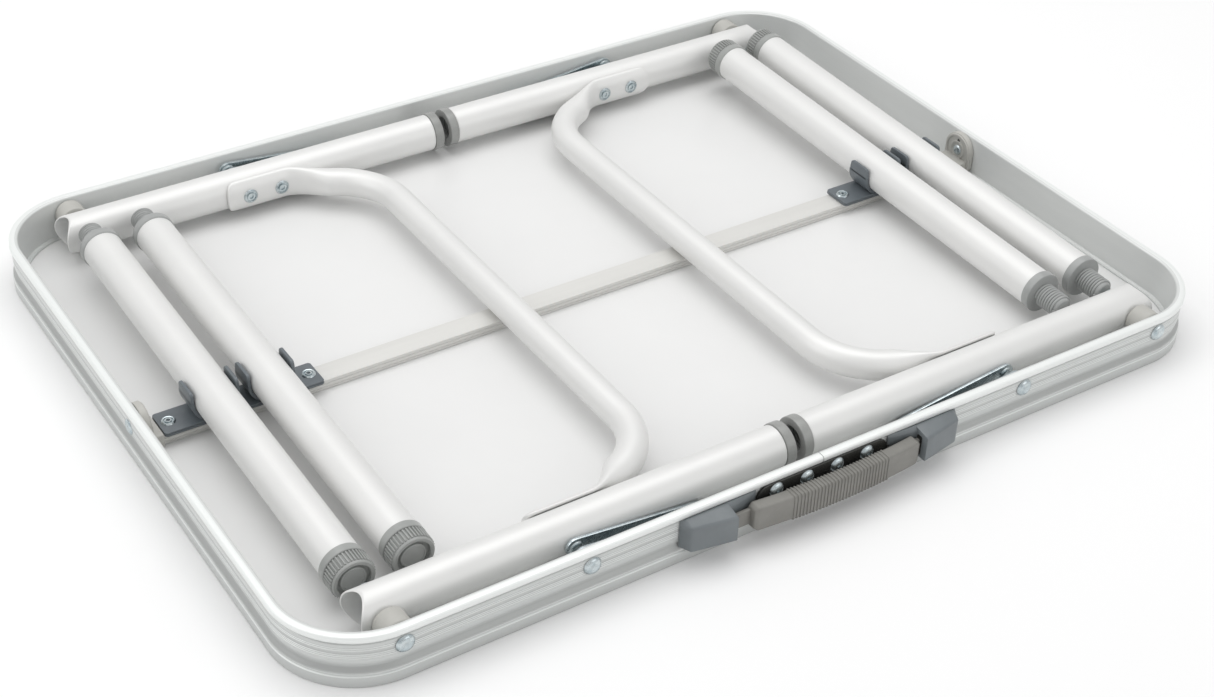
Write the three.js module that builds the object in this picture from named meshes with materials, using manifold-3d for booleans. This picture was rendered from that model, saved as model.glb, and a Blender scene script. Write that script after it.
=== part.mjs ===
// Folding table in a tray: a rimmed tabletop that holds two fold-out leg frames with their stays,
// and four screw-on extension legs in clips on a centre bar. It is built folded, lying on its
// tabletop: X runs along the long side, Y across it (the handle is at -Y) and Z up into the tray.
// z = 0 is the face of the tabletop, and the origin is its centre. All sizes are millimetres.
import * as THREE from 'three';
import { mergeVertices } from 'three/addons/utils/BufferGeometryUtils.js';
import Module from 'manifold-3d';

const wasm = await Module();
wasm.setup();

// ---- driving dimensions ----
const trayLength = 800;         // over the rim's lip, along X
const trayWidth = 600;          // over the rim's lip, along Y
const cornerRadius = 66;        // of the lip's outer edge
const fitGap = 0.3;             // between pieces that touch
const panelThickness = 6.5;
const panelRebate = 0.3;        // edge's face set back under the rim's lower lip

const rimHeight = 42.9;
const rimFootDepth = 1.5;       // how far the rim reaches below the tabletop's face
const lipWidth = 7.4;           // also the depth of the hollow wall
const lipHeight = 3.8;
const lipOverhang = 1.2;        // lip past the wall's outer face
const rimSkin = 1.5;
const hollowLift = 0.4;         // hollow's floor above the ledge's top
const bandProud = 0.8;          // lower band past the lip
const bandHeight = 9;
const ridgeHeight = 3;          // slopes above the band and in the wall's groove
const wallGrooveHeight = 16.6;  // concave groove above the band, from the rim's foot
const wallGrooveDepth = 1.8;
const ledgeReach = 4;           // inner ledge over the panel's edge
const grooveDepth = 5.2;        // how far the panel's groove goes into the wall
const footLipReach = 5;         // lower lip under the panel's edge
const buttGap = 0.3;            // where the rim's two ends meet

const legTubeRadius = 16;
const tubeWall = 1.5;
const stayBay = 17.6;           // free width between a leg tube and the rim's wall
const pivotInset = 66;          // leg pivot from the rim's short side
const legEndToMiddle = 12;      // leg tube's free end from the table's middle
const tailReach = 18.5;         // leg tube's end is round about its pivot, to turn past the tabletop

const crossRadius = 12;         // U-shaped cross bars
const crossWall = 1.4;
const crossReach = 246;         // pivot to the cross bar's straight run
const crossBend = 60;           // bend radius on the centre line
const crossTipReach = 121;      // pivot to the tip of the flattened end
const crossFlatEnd = 174;       // pivot to where the flat ends
const crossBlendAngle = 24;     // degrees of bend by which the bar is round again
const crossFlatThickness = 3.2;
const crossFlatHalfAngle = 48;  // degrees of leg tube that the flat wraps each way
const crossTipLength = 8;       // over which the flat's end is rounded off
const crossTipSpread = 0.45;    // share of the flat's height left at its very end
const crossSlit = 0.16;         // space left inside the flat, as a share of its thickness
const crossSlitReach = 0.93;    // and of its height
const crossClearance = 0.8;     // cross bar over the centre bar

const barHeight = 8.2;
const barWidth = 19.7;
const barWall = 1.4;
const barGrooveDepth = 0.5;
const barGrooveHeight = 1.1;
const barEndInset = 9;          // bar's end from the rim's inner wall

const endBlockLength = 8.5;
const endBlockWidth = 27;
const endBlockTop = 18.5;
const endEarThickness = 5.5;
const endEarRadius = 15.8;
const endEarCentre = 25.4;

const stripLength = 128;
const stripWidth = 27.4;
const stripThickness = 3;
const stripCentreInset = 86.7;  // from the rim's short side
const stripNotch = 1.5;         // chamfer on the strip's corners
const storedSpacing = 44.6;     // between the two stored legs of a pair
const clipWall = 2.6;
const clipWidth = 24;
const clipPlay = 0.5;
const clipRise = 9.5;           // how far the ears reach above the tube's centre
const cradleFloor = 2.2;        // strip left under the tube

const extensionRadius = 16;
const collarRadius = 17;
const studCollarLength = 7.5;
const studRadius = 10;
const studLength = 24;
const studChamfer = 2;
const footLength = 20;
const footRecessRadius = 12.5;
const footRecessDepth = 3;
const footDiscRadius = 9;
const footDiscInset = 1;
const insertLength = 25;        // of the plastic inserts inside the tubes
const storedEndPlay = 16;       // stored leg's length less than the gap between the leg tubes
const storedTilt = 1.3;         // degrees, stored legs tip up towards the back
const storedShift = 3;          // each stored pair off centre, towards its studs

const socketLength = 8;
const socketDepth = 32;
const threadClearance = 0.4;    // socket's bore over the stud's radius

const stayArm = 141;            // pivot to each stay rivet, on the leg and on the rim
const stayHalfHeight = 7.5;
const stayDroop = 6.5;          // degrees the folded links hang below the leg
const legLinkThickness = 2.5;
const rimLinkThickness = 3;
const rimLinkToWall = 3.6;
const legLinkToTube = 1;

const pivotShankRadius = 4;
const rivetHeadRadius = 7;
const rivetHeadHeight = 2.6;
const innerHeadHeight = 1.2;
const spacerRadius = 12;
const stayShankRadius = 3;
const flangeHeadRadius = 6.5;
const flangeHeadHeight = 1.5;
const headDome = 0.6;           // flat middle of a head, as a share of its radius

const plateLength = 117;        // over the rim's butt joint
const plateThickness = 2.5;
const plateTop = 37;
const plateBottom = 17;
const bracketInner = 84;        // handle bracket's inner end from the middle
const bracketLength = 39;
const bracketDepth = 15.5;      // out from the lip, at its inner end
const bracketEndDepth = 9;      // and at its outer end
const bracketBottom = 12.5;
const bracketTop = 36.5;
const bracketEndSlope = 4;      // how far the outer end leans in
const bracketWall = 2.4;
const tongueLength = 25;
const tongueThickness = 3;
const tongueBottom = 23;
const pocketDepth = 9.8;        // its front wall, out from the lip
const pocketLength = 20;
const gripHalfLength = 74;
const gripShift = 6;            // grip slid along towards the right bracket
const gripHeight = 20.5;
const gripLevel = 21.5;         // grip's middle above the tabletop's face
const gripThickness = 10.3;
const gripEndOut = 13.2;        // grip's outer face past the lip, at its ends
const gripMiddleOut = 17.4;     // and in the middle
const neckHeight = 13;
const neckThickness = 3;
const neckLength = 22;
const gripPlay = 2;             // how far the grip pulls out in its brackets

// ---- levels and places worked out from the sizes ----
const halfLength = trayLength / 2;
const halfWidth = trayWidth / 2;
const rimFoot = -rimFootDepth;
const rimTop = rimFoot + rimHeight;
const wallInside = lipWidth;                        // inward from the lip's outer edge
const innerLength = halfLength - wallInside;
const innerWidth = halfWidth - wallInside;
const panelTop = panelThickness;
const ledgeBottom = panelTop + fitGap;
const ledgeTop = ledgeBottom + rimSkin;
const barBottom = panelTop + fitGap;
const barTop = barBottom + barHeight;
const axisHeight = barTop + crossClearance + crossRadius;
const pivotX = halfLength - pivotInset;
const legY = innerWidth - stayBay - legTubeRadius;
const legInside = legY - legTubeRadius;
const legOutside = legY + legTubeRadius;
const stayX = pivotX - stayArm;
const stayLink = stayArm / Math.SQRT2;
const stripBottom = barTop + fitGap;
const storedHeight = stripBottom + cradleFloor + clipPlay + extensionRadius;
const stripX = halfLength - stripCentreInset;
const extensionLength = 2 * legInside - storedEndPlay;
const extensionTubeLength = extensionLength - studCollarLength - studLength - footLength;
const wallOutside = halfWidth - lipOverhang;        // outer face of the long walls
const headSeat = wallOutside + fitGap;
const drillLength = 60;

const roundSides = 20;
const smallSides = 10;
const crossSides = 12;
const arcSegments = 8;
const cornerSteps = 6;
const blendSteps = 6;
const bendSteps = 6;
const tipSteps = 3;
const bowSteps = 10;

// ---- materials ----
function finish(color, roughness, metalness) {
  return () => new THREE.MeshStandardMaterial({ color, roughness, metalness });
}
const whitePaint = finish(0xf1f1ef, 0.38, 0.0);
const laminate = finish(0xf2f2f1, 0.5, 0.0);
const satinAluminium = finish(0xc9cccb, 0.42, 0.85);
const barAluminium = finish(0xdedcd6, 0.45, 0.6);
const zinc = finish(0xb4c2c6, 0.3, 0.95);
const greyPlastic = finish(0x8b9092, 0.5, 0.0);
const bluePlastic = finish(0x6f7b83, 0.5, 0.0);
const bracketPlastic = finish(0x7f898f, 0.45, 0.0);
const gripPlastic = finish(0x85837e, 0.55, 0.0);
const blackPlastic = finish(0x24251f, 0.4, 0.1);
const spacerPlastic = finish(0xc8c7bf, 0.5, 0.0);

// ---- closed meshes and solids ----
function closedMesh(geometry) {
  const bare = new THREE.BufferGeometry();
  bare.setAttribute('position', geometry.getAttribute('position').clone());
  if (geometry.index) bare.setIndex(geometry.index.clone());
  const merged = mergeVertices(bare);
  const kept = [];
  for (let i = 0; i < merged.index.count; i += 3) {
    const [a, b, c] = [0, 1, 2].map((k) => merged.index.getX(i + k));
    if (a !== b && b !== c && c !== a) kept.push(a, b, c);
  }
  merged.setIndex(kept);
  return merged;
}

function toSolid(geometry) {
  const mesh = closedMesh(geometry);
  const vertProperties = new Float32Array(mesh.getAttribute('position').array);
  const triVerts = new Uint32Array(mesh.index.array);
  return new wasm.Manifold(new wasm.Mesh({ numProp: 3, vertProperties, triVerts }));
}

function toGeometry(solid) {
  const mesh = solid.getMesh();
  const geometry = new THREE.BufferGeometry();
  geometry.setAttribute('position', new THREE.BufferAttribute(mesh.vertProperties, 3));
  geometry.setIndex(new THREE.BufferAttribute(mesh.triVerts, 1));
  return geometry;
}

function join(first, ...others) {
  return toGeometry(others.reduce((sum, next) => sum.add(toSolid(next)), toSolid(first)));
}

function common(first, second) {
  return toGeometry(toSolid(first).intersect(toSolid(second)));
}

function cut(first, ...tools) {
  return toGeometry(tools.reduce((rest, tool) => rest.subtract(toSolid(tool)), toSolid(first)));
}

// ---- basic shapes ----
function block(low, high) {
  const size = new THREE.Vector3().subVectors(high, low);
  const geometry = new THREE.BoxGeometry(size.x, size.y, size.z);
  const middle = new THREE.Vector3().addVectors(low, high).multiplyScalar(0.5);
  return geometry.translate(middle.x, middle.y, middle.z);
}

// A turned piece on the Y axis. The profile is [radius, y] points, anticlockwise.
function turned(profile, sides = roundSides) {
  const closed = profile[0][0] === 0 ? profile : [...profile, profile[0]];
  const points = closed.map(([r, y]) => new THREE.Vector2(r, y));
  return closedMesh(new THREE.LatheGeometry(points, sides));
}

function ringProfile(inner, outer, from, to) {
  return [[inner, from], [outer, from], [outer, to], [inner, to]];
}

function rodProfile(radius, from, to) {
  return [[0, from], [radius, from], [radius, to], [0, to]];
}

function drillAlongY(radius, x, y, z) {
  return turned(rodProfile(radius, -drillLength / 2, drillLength / 2), smallSides).translate(x, y, z);
}

function outline(points) {
  return new THREE.Shape(points.map(([u, v]) => new THREE.Vector2(u, v)));
}

function extruded(shape, depth, curveSegments = arcSegments) {
  return new THREE.ExtrudeGeometry(shape, { depth, bevelEnabled: false, curveSegments });
}

// A flat outline in X and Z, as thick as from one Y to the other.
function plateXZ(shape, fromY, toY) {
  return closedMesh(extruded(shape, toY - fromY).rotateX(Math.PI / 2).translate(0, toY, 0));
}

// A flat outline in Y and Z, as thick as from one X to the other.
function plateYZ(shape, fromX, toX) {
  const plate = extruded(shape, toX - fromX);
  return closedMesh(plate.rotateZ(Math.PI / 2).rotateY(Math.PI / 2).translate(fromX, 0, 0));
}

// A section carried along stations: place(station, point) gives each corner's place in space.
function sweep(contour, hole, stations, place) {
  const section = [...contour, ...hole];
  const points = stations.flatMap((station) => section.map((point) => place(station, point)));
  const index = [];
  const loops = [[0, contour.length, 1], [contour.length, hole.length, 1]];
  for (let s = 0; s + 1 < stations.length; s += 1) {
    for (const [start, count] of loops) {
      for (let k = 0; k < count; k += 1) {
        const a = s * section.length + start + k;
        const b = s * section.length + start + ((k + 1) % count);
        index.push(a, b, b + section.length, a, b + section.length, a + section.length);
      }
    }
  }
  const toVector = ([u, v]) => new THREE.Vector2(u, v);
  const caps = THREE.ShapeUtils.triangulateShape(contour.map(toVector), [hole.map(toVector)]);
  const last = (stations.length - 1) * section.length;
  for (const [a, b, c] of caps) {
    index.push(c, b, a, last + a, last + b, last + c);
  }
  const geometry = new THREE.BufferGeometry().setFromPoints(points);
  geometry.setIndex(index);
  return facingOut(geometry);
}

function facingOut(geometry) {
  const position = geometry.getAttribute('position');
  const corners = [new THREE.Vector3(), new THREE.Vector3(), new THREE.Vector3()];
  let volume = 0;
  for (let i = 0; i < geometry.index.count; i += 3) {
    corners.forEach((corner, k) => corner.fromBufferAttribute(position, geometry.index.getX(i + k)));
    volume += corners[0].dot(corners[1].clone().cross(corners[2]));
  }
  if (volume < 0) geometry.setIndex(Array.from(geometry.index.array).reverse());
  return geometry;
}

// ---- the model ----
const group = new THREE.Group();

function addPiece(name, geometry, material, parent = group) {
  const mesh = new THREE.Mesh(geometry, material());
  mesh.name = name;
  parent.add(mesh);
  return mesh;
}

const sides = [['left', -1], ['right', 1]];
const ends = [['front', -1], ['back', 1]];

// A plate with the tray's rounded corners, so far in from the lip's outer edge.
function trayPlate(inset, bottom, top) {
  const x = halfLength - inset;
  const y = halfWidth - inset;
  const r = cornerRadius - inset;
  const shape = new THREE.Shape();
  shape.absarc(x - r, y - r, r, 0, Math.PI / 2);
  shape.absarc(r - x, y - r, r, Math.PI / 2, Math.PI);
  shape.absarc(r - x, r - y, r, Math.PI, 1.5 * Math.PI);
  shape.absarc(x - r, r - y, r, 1.5 * Math.PI, 2 * Math.PI);
  return closedMesh(extruded(shape, top - bottom, cornerSteps / 2).translate(0, 0, bottom));
}

// Tabletop panel, held in the rim's groove.
const panelEdge = trayPlate(grooveDepth - footLipReach / 2, panelRebate, panelThickness);
const panelFace = trayPlate(footLipReach + fitGap, 0, panelThickness);
addPiece('tabletop_panel', join(panelEdge, panelFace), laminate);

// The rim's section: distance out from the lip's outer edge, and height.
function rimContour() {
  const lipRound = 1;
  const bandRound = 0.6;
  return [
    [-footLipReach, rimFoot],
    [bandProud - bandRound, rimFoot],
    [bandProud, rimFoot + bandRound],
    [bandProud, rimFoot + bandHeight],
    [-bandRound, rimFoot + bandHeight + ridgeHeight],
    [-lipOverhang - bandRound, rimFoot + wallGrooveHeight],
    [-lipOverhang, rimFoot + wallGrooveHeight + ridgeHeight],
    [-lipOverhang, rimTop - lipHeight],
    [0, rimTop - lipHeight + bandRound],
    [0, rimTop - lipRound],
    [-lipRound, rimTop],
    [lipRound - lipWidth, rimTop],
    [-lipWidth, rimTop - lipRound],
    [-wallInside, ledgeTop],
    [-wallInside - ledgeReach, ledgeTop],
    [-wallInside - ledgeReach, ledgeBottom],
    [footLipReach / 2 - grooveDepth + fitGap, ledgeBottom],
    [footLipReach / 2 - grooveDepth + fitGap, -fitGap],
    [-footLipReach, -fitGap],
  ];
}

function rimHollow() {
  const outer = -lipOverhang - rimSkin;
  const floor = ledgeTop + hollowLift;
  return [
    [rimSkin - wallInside, floor],
    [rimSkin - wallInside, rimTop - rimSkin],
    [outer, rimTop - rimSkin],
    [outer, rimFoot + wallGrooveHeight + rimSkin],
    [outer - wallGrooveDepth / 3, rimFoot + wallGrooveHeight],
    [outer, floor],
  ];
}

// Once round the tray from the butt joint in the front side's middle.
function rimStations() {
  const stations = [{ x: buttGap / 2, y: -halfWidth, nx: 0, ny: -1 }];
  const corners = [[1, -1, -90], [1, 1, 0], [-1, 1, 90], [-1, -1, 180]];
  for (const [sx, sy, start] of corners) {
    for (let k = 0; k <= cornerSteps; k += 1) {
      const angle = THREE.MathUtils.degToRad(start + (90 * k) / cornerSteps);
      const nx = Math.cos(angle);
      const ny = Math.sin(angle);
      const x = sx * (halfLength - cornerRadius) + nx * cornerRadius;
      const y = sy * (halfWidth - cornerRadius) + ny * cornerRadius;
      stations.push({ x, y, nx, ny });
    }
  }
  stations.push({ x: -buttGap / 2, y: -halfWidth, nx: 0, ny: -1 });
  return stations;
}

function rimGeometry() {
  const place = (s, [out, z]) => new THREE.Vector3(s.x + s.nx * out, s.y + s.ny * out, z);
  const body = sweep(rimContour(), rimHollow(), rimStations(), place);
  const holes = [];
  for (const [, side] of sides) {
    for (const [, end] of ends) {
      for (const x of [pivotX, stayX]) {
        holes.push(drillAlongY(pivotShankRadius + fitGap, side * x, end * halfWidth, axisHeight));
      }
    }
  }
  return cut(body, ...holes);
}
addPiece('rim', rimGeometry(), satinAluminium);

// Plate over the rim's butt joint, behind the handle's grip.
function jointPlateGeometry() {
  const radius = (plateTop - plateBottom) / 2;
  const middle = (plateTop + plateBottom) / 2;
  const reach = plateLength / 2 - radius;
  const shape = new THREE.Shape();
  shape.absarc(reach, middle, radius, -Math.PI / 2, Math.PI / 2);
  shape.absarc(-reach, middle, radius, Math.PI / 2, 1.5 * Math.PI);
  return plateXZ(shape, -headSeat - plateThickness, -headSeat);
}
addPiece('joint_plate', jointPlateGeometry(), blackPlastic);

// Handle: two brackets with a tongue each, and a bowed grip whose necks sit in their pockets.
const bracketFront = -(halfWidth + bracketDepth);
const pocketFront = -(halfWidth + pocketDepth);
const neckBack = pocketFront + gripPlay + fitGap + neckThickness;

// The bracket seen from above: it stands out less towards its outer end.
function bracketPlan() {
  const outer = bracketInner + bracketLength;
  return outline([
    [bracketInner, bracketFront],
    [outer - bracketEndSlope, -(halfWidth + bracketEndDepth)],
    [outer, -headSeat],
    [bracketInner, -headSeat],
  ]);
}

function bracketGeometry(side) {
  const shape = outline([
    [bracketFront, bracketBottom],
    [-(halfWidth + fitGap), bracketBottom],
    [-headSeat, rimFoot + wallGrooveHeight + ridgeHeight],
    [-headSeat, bracketTop],
    [bracketFront + bracketWall, bracketTop],
    [bracketFront, bracketTop - bracketWall],
  ]);
  const bar = plateYZ(shape, bracketInner, bracketInner + bracketLength);
  const body = common(bar, extruded(bracketPlan(), rimHeight));
  const tongue = block(
    new THREE.Vector3(bracketInner - tongueLength, -headSeat - tongueThickness, tongueBottom),
    new THREE.Vector3(bracketInner + bracketWall, -headSeat, bracketTop),
  );
  const pocketFloor = gripLevel - neckHeight / 2 - fitGap;
  const pocket = block(
    new THREE.Vector3(bracketInner - tongueLength, pocketFront, pocketFloor),
    new THREE.Vector3(bracketInner + pocketLength + fitGap, neckBack + fitGap, bracketTop - bracketWall),
  );
  const right = cut(join(body, tongue), pocket);
  return side > 0 ? right : mirrored(right);
}

// The same solid, reflected across the table's middle.
function mirrored(geometry) {
  const copy = geometry.clone().scale(-1, 1, 1);
  copy.setIndex(Array.from(copy.index.array).reverse());
  return copy;
}

for (const [name, side] of sides) {
  addPiece(`handle_bracket_${name}`, bracketGeometry(side), bracketPlastic);
}

function gripGeometry() {
  const face = (x) => {
    const share = x / gripHalfLength;
    return -(halfWidth + gripMiddleOut - (gripMiddleOut - gripEndOut) * share * share);
  };
  const xs = Array.from({ length: bowSteps + 1 }, (_, k) => gripHalfLength * ((2 * k) / bowSteps - 1));
  const front = xs.map((x) => [x, face(x)]);
  const back = xs.map((x) => [x, face(x) + gripThickness]).reverse();
  const bow = extruded(outline([...front, ...back]), gripHeight);
  bow.translate(0, 0, gripLevel - gripHeight / 2);
  const neckEnd = gripHalfLength + neckLength;
  const neck = block(
    new THREE.Vector3(-neckEnd, neckBack - neckThickness, gripLevel - neckHeight / 2),
    new THREE.Vector3(neckEnd, neckBack, gripLevel + neckHeight / 2),
  );
  const between = block(
    new THREE.Vector3(fitGap - gripHalfLength, -drillLength - halfWidth, -drillLength),
    new THREE.Vector3(gripHalfLength - fitGap, drillLength - halfWidth, drillLength),
  );
  return join(bow, cut(neck, between)).translate(gripShift, 0, 0);
}
addPiece('handle_grip', gripGeometry(), gripPlastic);

// Centre bar: a hollow flat extrusion, grooved along both sides.
function centreBarGeometry() {
  const half = barWidth / 2;
  const middle = (barBottom + barTop) / 2;
  const groove = barGrooveHeight / 2;
  const shape = outline([
    [-half, barBottom], [half, barBottom],
    [half, middle - groove], [half - barGrooveDepth, middle - groove],
    [half - barGrooveDepth, middle + groove], [half, middle + groove],
    [half, barTop], [-half, barTop],
    [-half, middle + groove], [barGrooveDepth - half, middle + groove],
    [barGrooveDepth - half, middle - groove], [-half, middle - groove],
  ]);
  const inner = half - barWall - barGrooveDepth;
  shape.holes.push(new THREE.Path([
    new THREE.Vector2(-inner, barBottom + barWall),
    new THREE.Vector2(-inner, barTop - barWall),
    new THREE.Vector2(inner, barTop - barWall),
    new THREE.Vector2(inner, barBottom + barWall),
  ]));
  const reach = innerLength - barEndInset;
  return plateYZ(shape, -reach, reach);
}
addPiece('centre_bar', centreBarGeometry(), barAluminium);

// Bracket at each end of the bar: a block round the bar and a half-round ear on the rim's wall.
function barBracketGeometry(side) {
  const wall = innerLength - fitGap;
  const earInner = wall - endEarThickness;
  const ear = new THREE.Shape();
  ear.moveTo(-endEarRadius, ledgeTop + fitGap);
  ear.lineTo(endEarRadius, ledgeTop + fitGap);
  ear.lineTo(endEarRadius, endEarCentre);
  ear.absarc(0, endEarCentre, endEarRadius, 0, Math.PI);
  const base = block(
    new THREE.Vector3(earInner - endBlockLength, -endBlockWidth / 2, panelTop + fitGap),
    new THREE.Vector3(earInner + bracketWall, endBlockWidth / 2, endBlockTop),
  );
  const ledgeRoom = block(
    new THREE.Vector3(innerLength - ledgeReach - fitGap, -drillLength, 0),
    new THREE.Vector3(innerLength, drillLength, ledgeTop + fitGap),
  );
  const pocket = block(
    new THREE.Vector3(earInner - 2 * endBlockLength, -barWidth / 2 - fitGap, 0),
    new THREE.Vector3(innerLength - barEndInset + fitGap, barWidth / 2 + fitGap, barTop + fitGap),
  );
  const right = cut(join(plateYZ(ear, earInner, wall), base), ledgeRoom, pocket);
  return side > 0 ? right : mirrored(right);
}
for (const [name, side] of sides) {
  addPiece(`bar_bracket_${name}`, barBracketGeometry(side), bracketPlastic);
}

// Clip strips on the bar, each with two open clips for the stored legs.
const storedX = (slot) => stripX + (slot * storedSpacing) / 2;

function storedFrame(x) {
  const tilt = THREE.MathUtils.degToRad(storedTilt);
  return new THREE.Matrix4().makeRotationX(tilt).setPosition(x, 0, storedHeight);
}

function clipStripGeometry(side) {
  const halfStrip = stripLength / 2;
  const halfDepth = stripWidth / 2;
  const plan = outline([
    [stripX - halfStrip, stripNotch - halfDepth], [stripX - halfStrip + stripNotch, -halfDepth],
    [stripX + halfStrip - stripNotch, -halfDepth], [stripX + halfStrip, stripNotch - halfDepth],
    [stripX + halfStrip, halfDepth - stripNotch], [stripX + halfStrip - stripNotch, halfDepth],
    [stripX - halfStrip + stripNotch, halfDepth], [stripX - halfStrip, halfDepth - stripNotch],
  ]);
  const strip = extruded(plan, stripThickness).translate(0, 0, stripBottom);
  const bore = extensionRadius + clipPlay;
  const cradles = [-1, 1].map((slot) => {
    const rod = turned(rodProfile(bore + clipWall, -clipWidth / 2, clipWidth / 2));
    return rod.translate(storedX(slot), 0, storedHeight);
  });
  const ears = [-1, 1].map((slot) => block(
    new THREE.Vector3(storedX(slot) - bore - clipWall, -clipWidth / 2, storedHeight),
    new THREE.Vector3(storedX(slot) + bore + clipWall, clipWidth / 2, storedHeight + clipRise),
  ));
  const bores = [-1, 1].map((slot) => {
    const rod = turned(rodProfile(bore, -stripWidth, stripWidth));
    return rod.applyMatrix4(storedFrame(storedX(slot)));
  });
  const mouths = [-1, 1].map((slot) => block(
    new THREE.Vector3(storedX(slot) - bore, -stripWidth, storedHeight),
    new THREE.Vector3(storedX(slot) + bore, stripWidth, storedHeight + drillLength),
  ));
  const above = block(
    new THREE.Vector3(0, -stripWidth, storedHeight + clipRise),
    new THREE.Vector3(trayLength, stripWidth, storedHeight + drillLength),
  );
  const below = block(
    new THREE.Vector3(0, -stripWidth, stripBottom - drillLength),
    new THREE.Vector3(trayLength, stripWidth, stripBottom),
  );
  const right = cut(join(strip, ...cradles, ...ears), ...bores, ...mouths, above, below);
  return side > 0 ? right : mirrored(right);
}
for (const [name, side] of sides) {
  addPiece(`clip_strip_${name}`, clipStripGeometry(side), bluePlastic);
}

// Leg pivots: a spacer between the rim and the leg tube, and a rivet through all of them.
function spacerGeometry(side, end) {
  const length = stayBay - 2 * fitGap;
  const ring = turned(ringProfile(pivotShankRadius + fitGap, spacerRadius, 0, length));
  const from = end > 0 ? legOutside + fitGap : -(legOutside + fitGap + length);
  ring.translate(side * pivotX, from, axisHeight);
  return common(ring, trayPlate(wallInside + fitGap, 0, rimTop));
}

// A rivet along Y from its outer head to its inner one, written for the back and turned for the front.
function rivetGeometry(shank, outer, inner, x, end) {
  const profile = [
    [0, inner.seat - inner.height],
    [inner.radius * headDome, inner.seat - inner.height],
    [inner.radius, inner.seat],
    [shank, inner.seat],
    [shank, outer.seat],
    [outer.radius, outer.seat],
    [outer.radius * headDome, outer.seat + outer.height],
    [0, outer.seat + outer.height],
  ];
  const rivet = turned(profile, smallSides);
  if (end < 0) rivet.rotateZ(Math.PI);
  return rivet.translate(x, 0, axisHeight);
}

const rimHead = { radius: rivetHeadRadius, seat: headSeat, height: rivetHeadHeight };
const legLinkInner = legOutside + legLinkToTube;
const legLinkOuter = legLinkInner + legLinkThickness;
const rimLinkOuter = innerWidth - rimLinkToWall;
const rimLinkInner = rimLinkOuter - rimLinkThickness;
const flatInside = legInside - 2 * fitGap - crossFlatThickness;

function pivotRivetGeometry(side, end) {
  const inner = { radius: rivetHeadRadius, seat: legInside - fitGap, height: innerHeadHeight };
  return rivetGeometry(pivotShankRadius, rimHead, inner, side * pivotX, end);
}

function stayRimRivetGeometry(side, end) {
  const inner = { radius: flangeHeadRadius, seat: rimLinkInner - fitGap, height: flangeHeadHeight };
  return rivetGeometry(stayShankRadius, rimHead, inner, side * stayX, end);
}

function stayLegRivetGeometry(side, end) {
  const outer = { radius: flangeHeadRadius - 1, seat: legLinkOuter + fitGap, height: flangeHeadHeight };
  const inner = { radius: flangeHeadRadius, seat: flatInside - fitGap, height: flangeHeadHeight };
  return rivetGeometry(stayShankRadius, outer, inner, side * stayX, end);
}

// Leg tube: open at the pivot end, where it is cut round about the pivot.
function legTubeGeometry(side, end) {
  const from = legEndToMiddle;
  const to = pivotX + tailReach;
  const tube = turned(ringProfile(legTubeRadius - tubeWall, legTubeRadius, from, to));
  tube.rotateZ(-Math.PI / 2).translate(0, end * legY, axisHeight);
  const beyond = block(
    new THREE.Vector3(pivotX, end * legY - legTubeRadius - fitGap, 0),
    new THREE.Vector3(halfLength, end * legY + legTubeRadius + fitGap, 2 * axisHeight),
  );
  const nose = turned(rodProfile(tailReach, -drillLength, drillLength));
  const saw = cut(beyond, nose.translate(pivotX, end * legY, axisHeight));
  const holes = [
    drillAlongY(pivotShankRadius + fitGap, pivotX, end * legY, axisHeight),
    drillAlongY(stayShankRadius + fitGap, stayX, end * legY, axisHeight),
  ];
  const right = cut(tube, saw, ...holes);
  return side > 0 ? right : mirrored(right);
}

// Threaded socket in the leg tube's free end.
function socketGeometry(side, end) {
  const bore = studRadius + threadClearance;
  const sleeve = legTubeRadius - tubeWall - fitGap;
  const mouth = legEndToMiddle - fitGap;
  const socket = turned([
    [bore, mouth - socketLength],
    [collarRadius, mouth - socketLength],
    [collarRadius, mouth],
    [sleeve, mouth],
    [sleeve, mouth + socketDepth],
    [bore, mouth + socketDepth],
  ]);
  socket.rotateZ(-Math.PI / 2).translate(0, end * legY, axisHeight);
  return side > 0 ? socket : mirrored(socket);
}

// Cross bar: a bent tube whose flattened ends wrap the inner sides of the two leg tubes.
function crossStations() {
  const roundY = legInside - 2 * fitGap - crossRadius;
  const baseX = pivotX - crossReach;
  const onBend = (angle, startX) => {
    const [nx, ny] = [Math.sin(angle), -Math.cos(angle)];
    return { x: startX - crossBend * nx, y: roundY - crossBend - crossBend * ny, nx, ny };
  };
  const half = Array.from({ length: tipSteps + 1 }, (_, k) => {
    const share = k / tipSteps;
    const x = pivotX - crossTipReach - crossTipLength * share * share;
    const spread = THREE.MathUtils.lerp(crossTipSpread, 1, 1 - (1 - share) ** 2);
    return { x, y: roundY, nx: 0, ny: -1, flat: 1, spread };
  });
  const bendStart = baseX + crossBend;
  const straight = pivotX - crossFlatEnd - bendStart;
  const blendAngle = THREE.MathUtils.degToRad(crossBlendAngle);
  const blendLength = straight + crossBend * blendAngle;
  for (let k = 0; k <= blendSteps; k += 1) {
    const share = k / blendSteps;
    const angle = Math.max(0, (share * blendLength - straight) / crossBend);
    const back = Math.max(0, straight - share * blendLength);
    const flat = 1 - THREE.MathUtils.smoothstep(share, 0, 1);
    half.push({ ...onBend(angle, bendStart + back), flat, spread: 1 });
  }
  for (let k = 1; k <= bendSteps; k += 1) {
    const angle = THREE.MathUtils.lerp(blendAngle, Math.PI / 2, k / bendSteps);
    half.push({ ...onBend(angle, bendStart), flat: 0, spread: 1 });
  }
  const other = half.map((s) => ({ ...s, y: -s.y, ny: -s.ny, mirror: true })).reverse();
  return [...half, ...other];
}

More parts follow.
